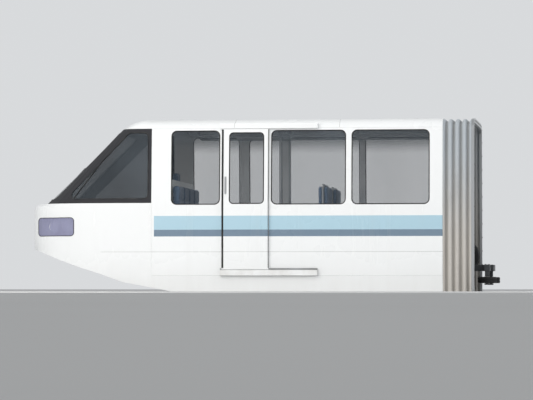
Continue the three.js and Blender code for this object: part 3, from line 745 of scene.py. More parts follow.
def weave_bellows_cloth():
    cloth = Surface("bellows_cloth", Sheen_Weight=0.15)
    x, z = cloth.axes()[::2]
    valley_shade = cloth.attribute("valley_shade")
    cloudy = cloth.noise(3.0, 6.0)
    streaks = cloth.noise(9.0, 5.0, stretch=(1.0, 1.0, 0.15))
    weave = (z * 3100.0).sine() * (x * 3100.0).sine()
    warm = colours().bellows_cloth
    # Painted light: the cloth turns cooler in hue towards its top, standing in for sky light falling on it.
    painted_sky_tint = (warm[0] * 0.82, warm[1] * 0.93, warm[2] * 1.06, 1)
    base = cloth.mixed(z.above(0.95, 1.5), warm, painted_sky_tint)
    # The fold valleys are darkened towards grime: partly the dirt that gathers there, partly painted shade
    # in the creases. The streaks are dirt.
    base = cloth.mixed(valley_shade.above(0.6, 0.7) * 0.5 + streaks.above(0.62, 0.2) * 0.2, base, GRIME_AND_SHADE)
    cloth.wear(Base_Color=base, Roughness=0.68 + cloudy * 0.2,
               Normal=cloth.bumped(weave + cloudy, 0.0008, 0.5))


def frost_lamp_strip():
    strip = Surface("ceiling_lamp")
    haze = strip.noise(14.0, 3.0)
    base = strip.mixed(haze, (0.9, 0.91, 0.9, 1), (0.8, 0.82, 0.82, 1))
    strip.wear(Base_Color=base, Roughness=0.3 + haze * 0.2)


FINISHES = [
    paint_body, line_cabin, clean_glass, dark_glass, press_sill, mould_trim, vulcanise_rubber, cure_tyres,
    draw_aluminium, plate_fasteners, polish_reflector, blow_bulb, smoke_lamp_cover, lay_flooring,
    weave_seat_cloth, weave_bellows_cloth, frost_lamp_strip,
]


class MONORAIL_OT_finishes(bpy.types.Operator):
    """Make every finish and put it on the car's own solids"""

    bl_idname = "monorail.finishes"
    bl_label = "Finishes"

    def execute(self, context):
        for make in FINISHES:
            make()
        coat_steel("frame_steel", (0.035, 0.038, 0.042, 1), (0.10, 0.098, 0.092, 1), 0.6)
        coat_steel("machine_steel", (0.13, 0.135, 0.14, 1), (0.22, 0.21, 0.2, 1), 0.15)
        edges = smooth_by_angle_nodes()
        for name, node in NODES.items():
            node.data.materials.clear()
            node.data.materials.append(bpy.data.materials[surface_for(name)])
            ease_edges(node, edges)
        return {"FINISHED"}


SURFACE_BY_WORD = [
    ("window_frame", "dark_trim"), ("window", "window_glass"), ("door_pane", "window_glass"),
    ("windscreen", "cab_glass"), ("quarter_glass", "cab_glass"), ("headlamp", "lamp_cover"),
    ("door_sill", "sill_metal"),
    ("bulkhead", "cabin_lining"), ("partition", "cabin_lining"), ("console", "dark_trim"),
    ("bogie_frame", "frame_steel"), ("sole_bar", "frame_steel"), ("bolster", "frame_steel"),
    ("motor", "machine_steel"), ("floor_pan", "ribbed_floor"), ("bench", "seat_cloth"),
    ("driver_seat", "seat_cloth"), ("bellows_ring", "bare_aluminium"), ("bellows", "bellows_cloth"),
    ("wheel", "tyre_rubber"),
]


def surface_for(name):
    for word, surface in SURFACE_BY_WORD:
        if word in name:
            return surface
    return "body_paint"


def smooth_by_angle_nodes():
    """A node group that shades a mesh smooth except at its sharp edges."""
    group = bpy.data.node_groups.new("ease_shading", "GeometryNodeTree")
    group.interface.new_socket("Geometry", in_out="INPUT", socket_type="NodeSocketGeometry")
    group.interface.new_socket("Geometry", in_out="OUTPUT", socket_type="NodeSocketGeometry")
    start = group.nodes.new("NodeGroupInput")
    end = group.nodes.new("NodeGroupOutput")
    faces = group.nodes.new("GeometryNodeSetShadeSmooth")
    faces.domain = "FACE"
    edges = group.nodes.new("GeometryNodeSetShadeSmooth")
    edges.domain = "EDGE"
    edges.inputs["Shade Smooth"].default_value = False
    angle = group.nodes.new("GeometryNodeInputMeshEdgeAngle")
    sharp = group.nodes.new("FunctionNodeCompare")
    sharp.data_type = "FLOAT"
    sharp.operation = "GREATER_THAN"
    sharp.inputs[1].default_value = math.radians(28)
    link = group.links.new
    link(start.outputs[0], faces.inputs["Geometry"])
    link(faces.outputs[0], edges.inputs["Geometry"])
    link(angle.outputs["Unsigned Angle"], sharp.inputs[0])
    link(sharp.outputs[0], edges.inputs["Selection"])
    link(edges.outputs[0], end.inputs[0])
    return group


def ease_edges(node, group):
    """Live modifiers that merge a node's loose triangles, ease its edges and smooth its curves."""
    weld = node.modifiers.new("Weld", "WELD")
    weld.merge_threshold = SAME_PLACE
    bevel = node.modifiers.new("Bevel", "BEVEL")
    bevel.width = 0.0025
    bevel.segments = 2
    bevel.limit_method = "ANGLE"
    bevel.angle_limit = math.radians(32)
    shading = node.modifiers.new("Shading", "NODES")
    shading.node_group = group
    weighted = node.modifiers.new("Weighted", "WEIGHTED_NORMAL")
    weighted.keep_sharp = True


# Window rubbers, door seals and lamps

def pane_hint(name):
    """The way a pane looks: forwards and up for the windscreen, to its own side for the rest."""
    if name == "windscreen":
        return Vector((0.68, 0, 0.73))
    return Vector((0, SIDES[name.split("_")[0]], 0))


class MONORAIL_OT_gaskets(bpy.types.Operator):
    """Lay a rubber gasket round each window pane"""

    bl_idname = "monorail.gaskets"
    bl_label = "Window gaskets"

    def execute(self, context):
        panes = [name for name in NODES if surface_for(name) in ("window_glass", "cab_glass")]
        for name in panes:
            skin = outer_skin(name, pane_hint(name))
            rim = rim_of(skin, outwards=0.004, inwards=0.003)
            bpy.data.objects.remove(skin)
            gasket = tube(f"{name}_gasket", rim, sizes().gasket_radius, cyclic=True)
            fitted(gasket, NODES[name]["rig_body"], "seal_rubber", smooth=60)
        return {"FINISHED"}


class MONORAIL_OT_door_seals(bpy.types.Operator):
    """Fit the rubber seals and the pull handles to the door leaves"""

    bl_idname = "monorail.door_seals"
    bl_label = "Door seals and handles"

    def execute(self, context):
        for side, out in SIDES.items():
            low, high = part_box(f"{side}_door_leaf")
            strips = [self.strip(out, low.x + 0.0045, 0.0042)]
            for place in range(3):
                strips.append(self.strip(out, high.x - 0.005 - 0.0075 * place, 0.0045))
            seal = joined(f"{side}_door_seal", strips)
            fitted(seal, f"{side}_door", "seal_rubber", smooth=60)
            self.handle(side, out, high.x - 0.05)
        return {"FINISHED"}

    def strip(self, out, x, radius):
        """A rubber bead down the leaf's outer face."""
        line = [(x, out * LEAF_FACE, 0.055), (x, out * LEAF_FACE, BELT), (x, out * 0.9893, 1.806)]
        return tube("strip", line, radius)

    def handle(self, side, out, x):
        """A flat pull on the front stile, on two feet."""
        middle = 1.10
        face = LEAF_FACE - SIDE_LEAN * (middle - BELT)
        parts = [block("grip", (x - 0.011, -0.004, 0.99), (x + 0.011, 0.004, 1.21), edge=0.0035, segments=3)]
        for z in (1.005, 1.195):
            foot = block("foot", (x - 0.008, -0.011, z - 0.01), (x + 0.008, 0.0, z + 0.01), edge=0.002)
            parts.append(foot)
        pull = joined(f"{side}_door_pull", parts)
        lean = Matrix.Rotation(out * math.atan(SIDE_LEAN), 4, "X")
        flip = Matrix.Scale(out, 4, (0, 1, 0))
        here = Matrix.Translation((0, out * (face + 0.0095), middle))
        placed(pull, here @ lean @ flip @ Matrix.Translation((0, 0, -middle)))
        if out < 0:
            pull.data.flip_normals()
        fitted(pull, f"{side}_door", "bare_aluminium")


# Bellows

def section_at(inset):
    """Outline of the body's section, pulled in by an inset, from the left foot over the roof."""
    # Share of the inset that lowers the top points, from the crown down to the shoulder
    drops = [1.0, 1.0, 0.9, 0.6, 0.3]
    half = []
    for i, (width, height) in enumerate(BODY_SECTION):
        from_top = len(BODY_SECTION) - 1 - i
        drop = drops[from_top] if from_top < len(drops) else 0.0
        half.append((width - inset, height - inset * drop))
    return half + [(-width, height) for width, height in reversed(half)]


def softened(points, rounds):
    """Corners of an open outline cut off again and again."""
    for _ in range(rounds):
        cut = [points[0]]
        for (y0, z0), (y1, z1) in zip(points, points[1:]):
            cut.append((y0 * 0.75 + y1 * 0.25, z0 * 0.75 + z1 * 0.25))
            cut.append((y0 * 0.25 + y1 * 0.75, z0 * 0.25 + z1 * 0.75))
        cut.append(points[-1])
        points = cut
    return points


def spread(points, count):
    """Points an equal way apart along an outline."""
    lengths = [0.0]
    for (y0, z0), (y1, z1) in zip(points, points[1:]):
        lengths.append(lengths[-1] + math.hypot(y1 - y0, z1 - z0))
    found = []
    piece = 0
    for step in range(count + 1):
        target = lengths[-1] * step / count
        while piece + 2 < len(lengths) and lengths[piece + 1] < target:
            piece += 1
        share = (target - lengths[piece]) / (lengths[piece + 1] - lengths[piece])
        (y0, z0), (y1, z1) = points[piece], points[piece + 1]
        found.append((y0 + (y1 - y0) * share, z0 + (z1 - z0) * share))
    return found


class MONORAIL_OT_bellows(bpy.types.Operator):
    """Fold the bellows as one sheet of rounded pleats"""

    bl_idname = "monorail.bellows"
    bl_label = "Bellows"

    def execute(self, context):
        low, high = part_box("bellows")
        front = high.x - 0.001
        length = high.x - low.x - 0.002
        folds = sizes().pleat_count
        rows = folds * 14
        columns = 150
        fresh()
        bpy.ops.mesh.primitive_grid_add(x_subdivisions=rows, y_subdivisions=columns, size=1)
        cloth = bpy.context.object
        # Depth of the fold at each point, read by the cloth's finish to paint dirt and shade into the
        # valleys.
        valley_shade = cloth.data.attributes.new("valley_shade", "FLOAT", "POINT")
        outlines = []
        for row in range(rows + 1):
            wave = 0.5 - 0.5 * math.cos(math.tau * folds * row / rows)
            depth = wave ** 1.5
            outline = spread(softened(section_at(0.009 + sizes().pleat_depth * depth), 2), columns)
            outlines.append((depth, outline))
        for index, vertex in enumerate(cloth.data.vertices):
            column, row = divmod(index, rows + 1)
            depth, outline = outlines[row]
            y, z = outline[column]
            vertex.co = (front - length * row / rows, y, z)
            valley_shade.data[index].value = depth
        tidy_mesh(cloth)
        cloth.name = "pleated_bellows"
        only(cloth)
        turn_outwards(cloth)
        shaped(cloth, "SOLIDIFY", thickness=0.006, offset=-1)
        fitted(cloth, "car_body", "bellows_cloth", smooth=70)
        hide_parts("bellows")
        depths = [sizes().pleat_depth * depth for depth, outline in outlines]
        profile = [(length * row / rows, depth) for row, depth in enumerate(depths)]
        return {"FINISHED"}


def turn_outwards(piece):
    """Flips the open bellows sheet if its faces look towards the gangway's middle."""
    middle = Vector((-1.78, 0, 0.8))
    inside = sum((middle - face.center).dot(face.normal) > 0 for face in piece.data.polygons)
    if inside > len(piece.data.polygons) / 2:
        piece.data.flip_normals()


# Wheels

class MONORAIL_OT_wheels(bpy.types.Operator):
    """Turn the load wheels, the guide wheels and the stabiliser wheels"""

    bl_idname = "monorail.wheels"
    bl_label = "Wheels"

    def execute(self, context):
        for bogie, x in BOGIES.items():
            self.load_wheels(bogie, x)
            for side in SIDES:
                for place in ("guide_wheel_fore", "guide_wheel_aft", "stabiliser_wheel"):
                    self.flank_wheel(f"{bogie}_{side}_{place}")
        return {"FINISHED"}

    def load_wheels(self, bogie, x):
        centre = Vector((x, 0, AXLE_HEIGHT))
        body = f"{bogie}_axle"
        tyre_outline = [(0.128, 0.024), (0.150, 0.022), (0.186, 0.024), (0.203, 0.030)]
        for groove in (0.058, 0.082, 0.106):
            tyre_outline += [(0.2095, groove - 0.008), (0.2095, groove - 0.004), (0.200, groove - 0.003),
                             (0.200, groove + 0.003), (0.2095, groove + 0.004)]
        tyre_outline += [(0.203, 0.134), (0.186, 0.140), (0.150, 0.142), (0.128, 0.140)]
        disc_outline = [(0.036, 0.034), (0.112, 0.030), (0.129, 0.024), (0.129, 0.140), (0.121, 0.141),
                        (0.117, 0.126), (0.106, 0.112), (0.080, 0.108), (0.070, 0.118), (0.062, 0.144),
                        (0.046, 0.148), (0.036, 0.146)]
        tyres = []
        discs = []
        for out in (1, -1):
            matrix = facing(ACROSS * out, centre)
            tyres.append(placed(spun("tyre", tyre_outline, steps=56), matrix))
            discs.append(placed(spun("disc", disc_outline, steps=40), matrix))
            ring = [matrix @ turn for turn in in_a_ring(6, 0.092, 0.109)]
            discs.append(repeated("wheel_bolts", bolt_head(0.011, 0.009, 0.008, 0.012), ring))
        axle_outline = [(0, -0.2115), (0.026, -0.2115), (0.030, -0.207), (0.030, -0.150), (0.037, -0.148),
                        (0.037, 0.148), (0.030, 0.150), (0.030, 0.207), (0.026, 0.2115), (0, 0.2115)]
        discs.append(spun("axle", axle_outline, centre, ACROSS, steps=32))
        rubber = joined(f"{bogie}_load_tyres", tyres)
        hubs = joined(f"{bogie}_load_hubs", discs)
        fitted(rubber, body, "tyre_rubber", smooth=40)
        fitted(hubs, body, "machine_steel", smooth=40)
        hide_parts(f"{bogie}_load_wheels")

    def flank_wheel(self, name):
        low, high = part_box(name)
        centre = (low + high) / 2
        tread = [(0.074, -0.036), (0.090, -0.039), (0.108, -0.039), (0.117, -0.034), (0.1195, -0.024),
                 (0.1195, -0.004), (0.114, -0.003), (0.114, 0.003), (0.1195, 0.004), (0.1195, 0.024),
                 (0.117, 0.034), (0.108, 0.039), (0.090, 0.039), (0.074, 0.036)]
        hub = [(0.0215, -0.045), (0.034, -0.045), (0.038, -0.036), (0.046, -0.027), (0.068, -0.027),
               (0.072, -0.038), (0.076, -0.038), (0.076, 0.038), (0.072, 0.038), (0.068, 0.027),
               (0.046, 0.027), (0.038, 0.036), (0.034, 0.045), (0.0215, 0.045)]
        rubber = spun(f"{name}_tyre", tread, centre, steps=40)
        core = spun("core", hub, centre, steps=32)
        screws = []
        for way in (1, -1):
            ring = [facing((0, 0, way), centre) @ turn for turn in in_a_ring(5, 0.057, 0.0265)]
            screws.append(repeated("hub_screws", bolt_head(0.0055, 0.005, 0.004, 0.0065), ring))
        core = joined(f"{name}_hub", [core, *screws])
        fitted(rubber, name, "tyre_rubber", smooth=40)
        fitted(core, name, "machine_steel", smooth=40)
        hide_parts(name)


# Headlamps

class MONORAIL_OT_headlamps(bpy.types.Operator):
    """Fit each headlamp with a smoked cover, a tray, two reflectors and their bulbs"""

    bl_idname = "monorail.headlamps"
    bl_label = "Headlamps"

    def execute(self, context):
        for side, out in SIDES.items():
            node = f"{side}_headlamp"
            skin = outer_skin(node, Vector((0.3, out, 0)), limit=30)
            tray = copied(skin, f"{side}_lamp_tray")
            rim = rim_of(skin, outwards=0.0005, inwards=0.002)
            gasket = tube(f"{side}_lamp_gasket", rim, 0.0045, cyclic=True)
            fitted(gasket, "car_body", "seal_rubber", smooth=60)
            height = 0.583
            lamps = [self.reflector(skin, Vector((3.21, out * 0.98, height)), 0.082),
                     self.reflector(skin, Vector((3.42, out * 0.94, height)), 0.070)]
            only(skin)
            skin.name = f"{side}_lamp_cover"
            shaped(skin, "SOLIDIFY", thickness=0.004, offset=-1)
            fitted(skin, "car_body", "lamp_cover")
            for vertex, normal in zip(tray.data.vertices, [v.normal.copy() for v in tray.data.vertices]):
                vertex.co -= normal * 0.026
            shaped(tray, "SOLIDIFY", thickness=0.003, offset=-1)
            fitted(tray, "car_body", "machine_steel")
            bowls = joined(f"{side}_lamp_reflectors", [bowl for bowl, bulb in lamps])
            fitted(bowls, "car_body", "lamp_reflector", smooth=60)
            bulbs = joined(f"{side}_lamp_bulbs", [bulb for bowl, bulb in lamps])
            fitted(bulbs, "car_body", "bulb_glass", smooth=60)
            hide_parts(node)
        return {"FINISHED"}

    def reflector(self, skin, near, radius):
        place, normal = skin.closest_point_on_mesh(near)[1:3]
        matrix = facing(normal, place - normal * 0.0245)
        bowl_outline = [(0.012, 0.0), (radius * 0.55, 0.004), (radius * 0.86, 0.012), (radius, 0.0185),
                        (radius, 0.0165), (radius * 0.86, 0.0098), (radius * 0.55, 0.002), (0.012, -0.0015)]
        bulb_outline = [(0.0, -0.001), (0.010, -0.001), (0.011, 0.004), (0.011, 0.010), (0.008, 0.0145),
                        (0.0, 0.016)]
        bowl = placed(spun("bowl", bowl_outline, steps=40), matrix)
        bulb = placed(spun("bulb", bulb_outline, steps=20), matrix)
        return bowl, bulb


# Windscreen wiper

SLOPE_FOOT = Vector((3.56, 0, 0.885))
SLOPE_UP = Vector((-0.7373, 0, 0.6755))
SLOPE_OUT = Vector((0.6755, 0, 0.7373))


def on_screen(up, across, out):
    """A point over the windscreen: distance up the slope, to the left, and off the slope."""
    return SLOPE_FOOT + SLOPE_UP * up + Vector((0, across, 0)) + SLOPE_OUT * out


class MONORAIL_OT_wiper(bpy.types.Operator):
    """Fit the wiper to the foot of the windscreen"""

    bl_idname = "monorail.wiper"
    bl_label = "Windscreen wiper"

    def execute(self, context):
        hub_outline = [(0, -0.008), (0.019, -0.008), (0.019, 0.004), (0.015, 0.008), (0.008, 0.010),
                       (0.008, 0.020), (0.006, 0.022), (0, 0.022)]
        hub = spun("hub", hub_outline, on_screen(0.034, 0, 0), SLOPE_OUT, steps=28)
        arm = tube("arm", [on_screen(0.034, 0, 0.013), on_screen(0.11, 0.05, 0.017),
                           on_screen(0.40, 0.235, 0.010)], 0.0045)
        clip = block("clip", (-0.012, -0.007, -0.006), (0.012, 0.007, 0.006), edge=0.002)
        placed(clip, Matrix.Translation(on_screen(0.40, 0.235, 0.008)))
        spine = tube("spine", [on_screen(0.13, 0.09, 0.0035), on_screen(0.40, 0.235, 0.0065),
                               on_screen(0.68, 0.385, 0.0035)], 0.0035)
        metal = joined("wiper_arm", [hub, arm, clip, spine])
        fitted(metal, "car_body", "dark_trim")
        edge = [on_screen(0.12, 0.085, -0.0025), on_screen(0.69, 0.39, -0.0025)]
        blade = tube("wiper_blade", edge, 0.0038)
        fitted(blade, "car_body", "seal_rubber")
        return {"FINISHED"}


# Seats

# How much smaller a pad starts than its place, and how far its cover may swell
PAD_SHRINK = 0.010
PAD_SWELL = 0.013


def pad_form(name, size):
    """A padded block around the origin: a smaller closed form swells under its cover."""
    fresh()
    bpy.ops.mesh.primitive_cube_add(size=1)
    pad = bpy.context.object
    pad.name = name
    pad.scale = Vector(size) - Vector((PAD_SHRINK, PAD_SHRINK, PAD_SHRINK))
    settle(pad)
    shaped(pad, "BEVEL", width=min(size) * 0.28, segments=3, limit_method="ANGLE")
    shaped(pad, "REMESH", mode="VOXEL", voxel_size=sizes().pad_voxel)
    before = [vertex.co.copy() for vertex in pad.data.vertices]
    cloth = pad.modifiers.new("Cloth", "CLOTH")
    cloth.settings.quality = 4
    cloth.settings.mass = 0.3
    cloth.settings.use_pressure = True
    cloth.settings.uniform_pressure_force = 4.0
    cloth.settings.effector_weights.gravity = 0.0
    cloth.collision_settings.use_collision = False
    cloth.collision_settings.use_self_collision = False
    for step in range(1, 21):
        bpy.context.scene.frame_set(step)
    only(pad)
    bpy.ops.object.modifier_apply(modifier=cloth.name)
    bpy.context.scene.frame_set(1)
    for vertex, start in zip(pad.data.vertices, before):
        moved = vertex.co - start
        if moved.length > PAD_SWELL:
            vertex.co = start + moved.normalized() * PAD_SWELL
    shaped(pad, "SMOOTH", factor=0.5, iterations=2)
    shaped(pad, "SUBSURF", levels=1, render_levels=1)
    half = Vector(size) / 2
    for vertex in pad.data.vertices:
        for axis in range(3):
            vertex.co[axis] = max(-half[axis], min(half[axis], vertex.co[axis]))
    return pad


def sewn(pad, axis, places, depth, width, face):
    """Presses sewn channels into the face that looks a given way, at places along an axis."""
    face = Vector(face)
    for vertex, normal in zip(pad.data.vertices, [v.normal.copy() for v in pad.data.vertices]):
        looks = normal.dot(face)
        if looks > 0.3:
            for place in places:
                near = (vertex.co[axis] - place) / width
                vertex.co -= face * depth * looks * math.exp(-near * near)
    return pad


class MONORAIL_OT_benches(bpy.types.Operator):
    """Upholster the rear, middle and front benches with padded seats and backs"""

    bl_idname = "monorail.benches"
    bl_label = "Benches"

    def execute(self, context):
        seat = sewn(pad_form("seat_form", (0.440, 0.440, 0.082)), 0, (-0.075, 0.055), 0.007, 0.011, UP)
        back = sewn(pad_form("back_form", (0.092, 0.440, 0.515)), 2, (-0.10, 0.07), 0.007, 0.011, (1, 0, 0))
        self.row("rear_bench", seat, back, FORWARDS, -1.243, -1.5225)
        self.row("front_bench", seat, back, REARWARDS, 1.520, 1.795)
        for side, out in SIDES.items():
            self.middle_frame(side, out)
            self.middle_pads(side, out, seat, back)
        for form in (seat, back):
            bpy.data.objects.remove(form)
        return {"FINISHED"}

    def upholstered(self, name, form, place, turn):
        pad = copied(form, name, Matrix.Translation(place) @ turn)
        fitted(pad, "car_body", "seat_cloth", smooth=50)
        return pad

    def row(self, node, seat, back, turn, seat_x, back_x):
        """Four places side by side."""
        pitch = 0.449
        for number in range(4):
            y = pitch * (number - 1.5)
            pad = self.upholstered(f"{node}_seat_{number + 1}", seat, (seat_x, y, SEAT_HEIGHT), turn)
            self.upholstered(f"{node}_back_{number + 1}", back, (back_x, y, BACK_HEIGHT), turn)
            if number == 0:
                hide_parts(node)

    def middle_frame(self, side, out):
        """Plinth, backboard and grab rail of the two seats that stand back to back."""
        near, far = sorted((out * 0.28, out * 0.88))
        plinth = block(f"{side}_middle_plinth", (-0.515, near, DECK), (0.355, far, 0.562),
                       edge=0.02, segments=3)
        fitted(plinth, "car_body", "cabin_lining")
        near, far = sorted((out * 0.252, out * 0.898))
        middle = -0.08
        shell = block(f"{side}_middle_backboard", (middle - 0.007, near, 0.562),
                      (middle + 0.007, far, 1.108), edge=0.005, segments=3)
        fitted(shell, "car_body", "cabin_lining")
        line = [(0.262, 0.60), (0.262, 1.07), (0.30, 1.106), (0.85, 1.106), (0.89, 1.07), (0.89, 0.60)]
        points = [(middle, out * across, height) for across, height in line]
        rail = tube(f"{side}_middle_bench_rail", points, 0.0125, resolution=5)
        fitted(rail, "car_body", "bare_aluminium", smooth=60)

    def middle_pads(self, side, out, seat, back):
        """The wide pads of the two seats that stand back to back, with thinner backs."""
        wide = Matrix.Scale(0.640 / 0.440, 4, (0, 1, 0))
        thin = Matrix.Scale(0.56, 4, (1, 0, 0)) @ wide @ Matrix.Scale(0.94, 4, (0, 0, 1))
        y = out * 0.575
        for face, turn, seat_x, back_x in (("rearwards", REARWARDS, -0.352, -0.1145),
                                           ("forwards", FORWARDS, 0.192, -0.0455)):
            pad = self.upholstered(f"{side}_middle_seat_{face}", seat, (seat_x, y, SEAT_HEIGHT), turn @ wide)
            self.upholstered(f"{side}_middle_back_{face}", back, (back_x, y, BACK_HEIGHT), turn @ thin)
        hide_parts(f"{side}_middle_bench")


class MONORAIL_OT_driver_seat(bpy.types.Operator):
    """Upholster the driver's seat on its pedestal"""

    bl_idname = "monorail.driver_seat"
    bl_label = "Driver's seat"

    def execute(self, context):
        cushion = sewn(pad_form("driver_cushion", (0.425, 0.478, 0.093)), 1, (-0.13, 0.13), 0.008, 0.012, UP)
        back = pad_form("driver_back", (0.088, 0.456, 0.44))
        sewn(back, 1, (-0.12, 0.12), 0.008, 0.012, (1, 0, 0))
        head = pad_form("driver_headrest", (0.080, 0.27, 0.135))
        for pad, place in ((cushion, (2.1145, 0, 0.6625)), (back, (1.9255, 0, 0.925)),
                           (head, (1.924, 0, 1.2305))):
            placed(pad, Matrix.Translation(place))
            fitted(pad, "car_body", "seat_cloth", smooth=50)
        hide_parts("driver_seat")
        parts = [block("base", (2.025, -0.155, 0.5604), (2.275, 0.155, 0.572), edge=0.004),
                 block("column", (2.09, -0.07, 0.570), (2.21, 0.07, 0.604), edge=0.012, segments=3),
                 block("pan", (1.905, -0.225, 0.602), (2.315, 0.225, 0.616), edge=0.005)]
        for y in (-0.12, 0.12):
            parts.append(block("slide", (1.96, y - 0.014, 0.590), (2.30, y + 0.014, 0.604), edge=0.003))
            parts.append(tube("head_post", [(1.925, y * 0.5, 1.13), (1.925, y * 0.5, 1.18)], 0.006))
        corners = [Matrix.Translation((x, y, 0.5715)) for x in (2.05, 2.25) for y in (-0.13, 0.13)]
        parts.append(repeated("seat_bolts", bolt_head(0.009, 0.006, 0.006, 0.008), corners))
        frame_piece = joined("driver_seat_pedestal", parts)
        fitted(frame_piece, "car_body", "dark_trim")
        return {"FINISHED"}


# Driver's desk

DESK_MIDDLE = 0.074
DESK_FOOT = Vector((2.87, 0, 0.790))
DESK_UP = Vector((0.8805, 0, 0.4741))
DESK_OUT = Vector((-0.4741, 0, 0.8805))


def desk_matrix(up, across, out=0.0):
    """Matrix that lays a piece on the desk: distance up its slope, to the left, and off it."""
    turn = Matrix((DESK_UP, ACROSS, DESK_OUT)).transposed().to_4x4()
    place = DESK_FOOT + DESK_UP * up + ACROSS * across + DESK_OUT * out
    return Matrix.Translation(place) @ turn


class MONORAIL_OT_desk(bpy.types.Operator):
    """Fit dials, switches, a display and the drive lever to the driver's desk"""

    bl_idname = "monorail.desk"
    bl_label = "Driver's desk"

    def execute(self, context):
        panel = block("desk_panel", (-0.055, -0.43, 0), (0.055, 0.43, 0.006), edge=0.003, segments=3)
        placed(panel, desk_matrix(DESK_MIDDLE, 0.0))
        fitted(panel, "car_body", "bare_aluminium")
        rims = []
        faces = []
        for across, radius in ((0.15, 0.040), (0.05, 0.040), (-0.05, 0.030)):
            rim = spun("rim", [(radius - 0.006, 0), (radius, 0), (radius, 0.010), (radius - 0.003, 0.014),
                               (radius - 0.006, 0.012)], steps=36)
            inner = radius - 0.005
            face = spun("face", [(0, 0.001), (inner, 0.001), (inner, 0.009), (0.004, 0.010), (0, 0.010)],
                        steps=28)
            for piece, group in ((rim, rims), (face, faces)):
                group.append(placed(piece, desk_matrix(DESK_MIDDLE, across, 0.006)))
        fitted(joined("desk_dial_rims", rims), "car_body", "dark_trim")
        fitted(joined("desk_dials", faces), "car_body", "bulb_glass")
        knob = spun("knob", [(0, 0), (0.009, 0), (0.009, 0.006), (0.0065, 0.008), (0.006, 0.017),
                             (0.004, 0.019), (0, 0.019)], steps=16)
        rows = [desk_matrix(0.045 + 0.028 * row, -0.14 - 0.036 * column, 0.0055)
                for row in range(3) for column in range(7)]
        fitted(repeated("desk_switches", knob, rows), "car_body", "dark_trim")
        self.display()
        self.lever()
        return {"FINISHED"}

    def display(self):
        across = 0.31
        case = block("desk_display_case", (-0.052, -0.095, 0), (0.052, 0.095, 0.026), edge=0.006, segments=3)
        placed(case, desk_matrix(DESK_MIDDLE, across, 0.006))
        fitted(case, "car_body", "dark_trim")
        pane = block("desk_display", (-0.042, -0.083, 0), (0.042, 0.083, 0.002), edge=0.0009)
        placed(pane, desk_matrix(DESK_MIDDLE, across, 0.0315))
        fitted(pane, "car_body", "cab_glass")

    def lever(self):
        boot = spun("boot", [(0, 0), (0.036, 0), (0.037, 0.004), (0.028, 0.010), (0.030, 0.016),
                             (0.022, 0.022), (0.023, 0.028), (0.012, 0.036), (0, 0.036)], steps=28)
        stem = spun("stem", [(0, 0.03), (0.006, 0.03), (0.006, 0.088), (0.014, 0.092), (0.019, 0.104),
                             (0.019, 0.118), (0.013, 0.129), (0, 0.133)], steps=24)
        parts = [placed(piece, desk_matrix(DESK_MIDDLE, -0.47)) for piece in (boot, stem)]
        fitted(joined("drive_lever", parts), "car_body", "dark_trim", smooth=60)


# Cabin fittings

class MONORAIL_OT_cabin(bpy.types.Operator):
    """Fit the cabin's grab poles, ceiling lamps, hand rails and threshold strips"""

    bl_idname = "monorail.cabin"
    bl_label = "Cabin fittings"

    def execute(self, context):
        self.poles()
        self.rails()
        for side, out in SIDES.items():
            middle = out * 0.27
            lamp = block(f"{side}_ceiling_lamp", (-1.35, middle - 0.055, 1.882),
                         (1.65, middle + 0.055, 1.9045), edge=0.010, segments=4)
            fitted(lamp, "car_body", "ceiling_lamp")
            self.threshold(side, out)
        return {"FINISHED"}

    def poles(self):
        """A pole from floor to ceiling beside each doorway, with a flange at both ends."""
        x = 0.50
        flange_outline = [(0.0155, 0), (0.038, 0), (0.038, 0.004), (0.034, 0.007), (0.022, 0.009),
                          (0.0175, 0.016), (0.0155, 0.016)]
        metal = []
        for out in (1, -1):
            y = out * 0.52
            metal.append(tube("pole", [(x, y, 0.101), (x, y, CEILING)], 0.016, resolution=6))
            for z, way in ((0.1005, 1), (1.9045, -1)):
                flange = spun("flange", flange_outline, steps=28)
                metal.append(placed(flange, facing((0, 0, way), (x, y, z))))
        fitted(joined("grab_poles", metal), "car_body", "bare_aluminium", smooth=50)

    def rails(self):
        """A hand rail along each side, hung from the ceiling."""
        height = 1.75
        line = [(-1.42, 1.903), (-1.42, 1.79), (-1.38, height), (1.66, height), (1.70, 1.79), (1.70, 1.903)]
        rails = []
        for out in (1, -1):
            y = out * 0.50
            rails.append(tube("rail", [(x, y, z) for x, z in line], 0.015, resolution=5))
            for x in (-0.4, 0.6):
                rails.append(tube("drop", [(x, y, height + 0.005), (x, y, CEILING)], 0.010))
        fitted(joined("hand_rails", rails), "car_body", "bare_aluminium", smooth=50)

    def threshold(self, side, out):
        low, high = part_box(f"{side}_door_leaf")
        rib = block("rib", (low.x + 0.025, -0.0025, 0), (high.x - 0.03, 0.0025, 0.0022),
                    edge=0.0006, segments=1)
        places = [Matrix.Translation((0, out * (0.977 + 0.0062 * step), 0.0299)) for step in range(5)]
        tread = repeated(f"{side}_threshold_ribs", rib, places)
        fitted(tread, "car_body", "bare_aluminium")


# Running gear details

